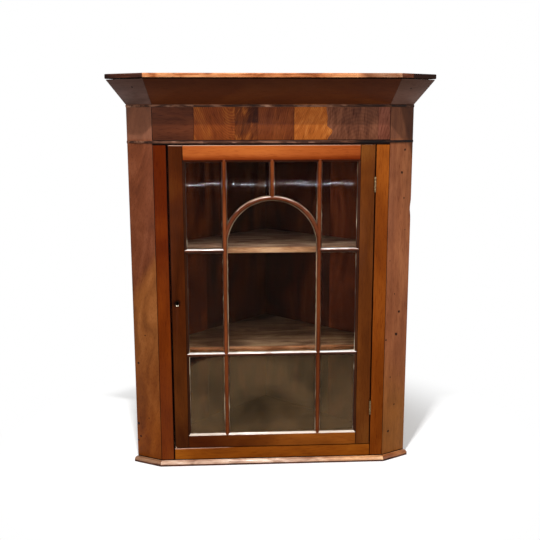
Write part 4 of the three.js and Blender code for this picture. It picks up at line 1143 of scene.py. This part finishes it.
# The faces that the heads lie in: the door's edge along x, and the lock's back and the strike plate along y
DOOR_HALF = 0.2662
LOCK_BACK = -0.145
STRIKE_BACK = -0.1535
levels = [height + offset for height in HINGE_HEIGHTS for offset in (-HINGE_SCREW_SPREAD, HINGE_SCREW_SPREAD)]
fixings("door_leaf_screws", [(DOOR_HALF - SCREW_IN, HINGE_SCREW_Y, z) for z in levels], (1, 0, 0),
        brass, "door", 3)
fixings("frame_leaf_screws", [(DOORWAY_HALF + SCREW_IN, HINGE_SCREW_Y, z) for z in levels], (-1, 0, 0),
        brass, "case", 4)
fixings("lock_screws", [(x, LOCK_BACK - SCREW_IN, z) for x in (-0.2608, -0.2348) for z in (0.435, 0.475)],
        (0, 1, 0), steel, "door", 5)
fixings("strike_plate_screws", [(-0.2756, STRIKE_BACK - SCREW_IN, z) for z in (0.4536, 0.4736)],
        (0, 1, 0), brass, "case", 6)


# Floor and backdrop: a pale floor that keeps the cupboard's shadow and runs out into white.
FLOOR_HALF = 6.0
SHADOW_REACH = (0.42, 0.80)
# How bright the white surroundings are for what they light
AMBIENT = 0.60
WHITE = (1, 1, 1, 1)
floor_mesh = bpy.data.meshes.new("floor")
corners = [(x * FLOOR_HALF, y * FLOOR_HALF, 0) for x, y in ((-1, -1), (1, -1), (1, 1), (-1, 1))]
floor_mesh.from_pydata(corners, [], [(0, 1, 2, 3)])
floor = put("floor", floor_mesh)
paper, tree = new_material("white_paper_floor")


def seen(tree):
    """1 for a ray from the camera, a reflection or glass, which see the backdrop as plain white."""
    path = add(tree, "ShaderNodeLightPath").outputs
    either = add(tree, "ShaderNodeMath", [path["Is Camera Ray"], path["Is Glossy Ray"]], 0, operation="MAXIMUM")
    return add(tree, "ShaderNodeMath", [either, path["Is Transmission Ray"]], 0, operation="MAXIMUM")


where = add(tree, "ShaderNodeTexCoord", output="Object")
distance = add(tree, "ShaderNodeVectorMath", [where], "Value", operation="LENGTH")
away = add(tree, "ShaderNodeMapRange", [distance, *SHADOW_REACH], 0, interpolation_type="SMOOTHSTEP")
white = add(tree, "ShaderNodeEmission", {"Color": WHITE, "Strength": 1.0}, 0)
# The floor is seen as white paper, but what it throws back on the object is that of a brown floor
shown = add(tree, "ShaderNodeMix", {0: seen(tree), 6: linear("#b4a492"), 7: linear("#ffffff")}, 2, data_type="RGBA")
fill(tree, tree.nodes["Principled BSDF"], {"Base Color": shown, "Roughness": 0.9, "Specular IOR Level": 0.0})
plain = add(tree, "ShaderNodeMath", [away, seen(tree)], 0, operation="MULTIPLY")
blend = add(tree, "ShaderNodeMixShader", [plain, tree.nodes["Principled BSDF"].outputs[0], white], 0)
fill(tree, tree.nodes["Material Output"], {"Surface": blend})
floor_mesh.materials.append(paper)

world = bpy.data.worlds.new("studio")
bpy.context.scene.world = world
world.use_nodes = True
tree = world.node_tree
strength = add(tree, "ShaderNodeMapRange", [seen(tree), 0.0, 1.0, AMBIENT, 1.0], 0)
fill(tree, tree.nodes["Background"], {"Color": WHITE, "Strength": strength})


# Lamps, as (place, size, watts): a small one high in front, which throws the cornice's shadow half-way
# down the frieze, a soft one at each side, and a strip whose mirror image waves across the top panes.
LAMPS = {
    "ceiling_lamp": ((-0.2, -1.225, 2.92), (0.12, 0.04), 60.0),
    "left_softbox": ((-2.2, -2.6, 1.0), (1.6, 1.6), 23.8),
    "right_softbox": ((2.4, -2.4, 1.0), (1.6, 1.6), 29.2),
    "strip_light": ((-0.06, -2.30, 0.597), (1.3, 0.008), 9.0),
}
LAMPS_AIM = Vector((0, 0, 0.55))
for name, (place, size, power) in LAMPS.items():
    data = bpy.data.lights.new(name, "AREA")
    data.shape = "RECTANGLE"
    data.size, data.size_y = size
    data.energy = power
    lamp = put(name, data)
    lamp.location = place
    lamp.rotation_euler = (LAMPS_AIM - Vector(place)).to_track_quat("-Z", "Y").to_euler()
    # The strip is only there to be mirrored, so nothing is lit by it
    if name == "strip_light":
        lamp.visible_diffuse = False
        lamp.visible_transmission = False


# Camera, at the photograph's place: 2 m in front, at the height of the frieze, looking down a little.
CAMERA_PLACE = (-0.1118, -2.1671, 0.9219)
CAMERA_YAW = -0.053
CAMERA_PITCH = 0.189
CAMERA_ROLL = -0.002
forward = Vector((
    -math.sin(CAMERA_YAW) * math.cos(CAMERA_PITCH),
    math.cos(CAMERA_YAW) * math.cos(CAMERA_PITCH),
    -math.sin(CAMERA_PITCH),
))
level_right = Vector((math.cos(CAMERA_YAW), math.sin(CAMERA_YAW), 0.0))
level_up = level_right.cross(forward)
right = level_right * math.cos(CAMERA_ROLL) + level_up * math.sin(CAMERA_ROLL)
up = level_up * math.cos(CAMERA_ROLL) - level_right * math.sin(CAMERA_ROLL)
lens = bpy.data.cameras.new("camera")
lens.sensor_width = 36.0
lens.lens = 51.5
camera = put("camera", lens)
camera.matrix_world = Matrix.Translation(CAMERA_PLACE) @ Matrix((right, up, -forward)).transposed().to_4x4()
bpy.context.scene.camera = camera
bpy.context.scene.view_settings.view_transform = "Standard"
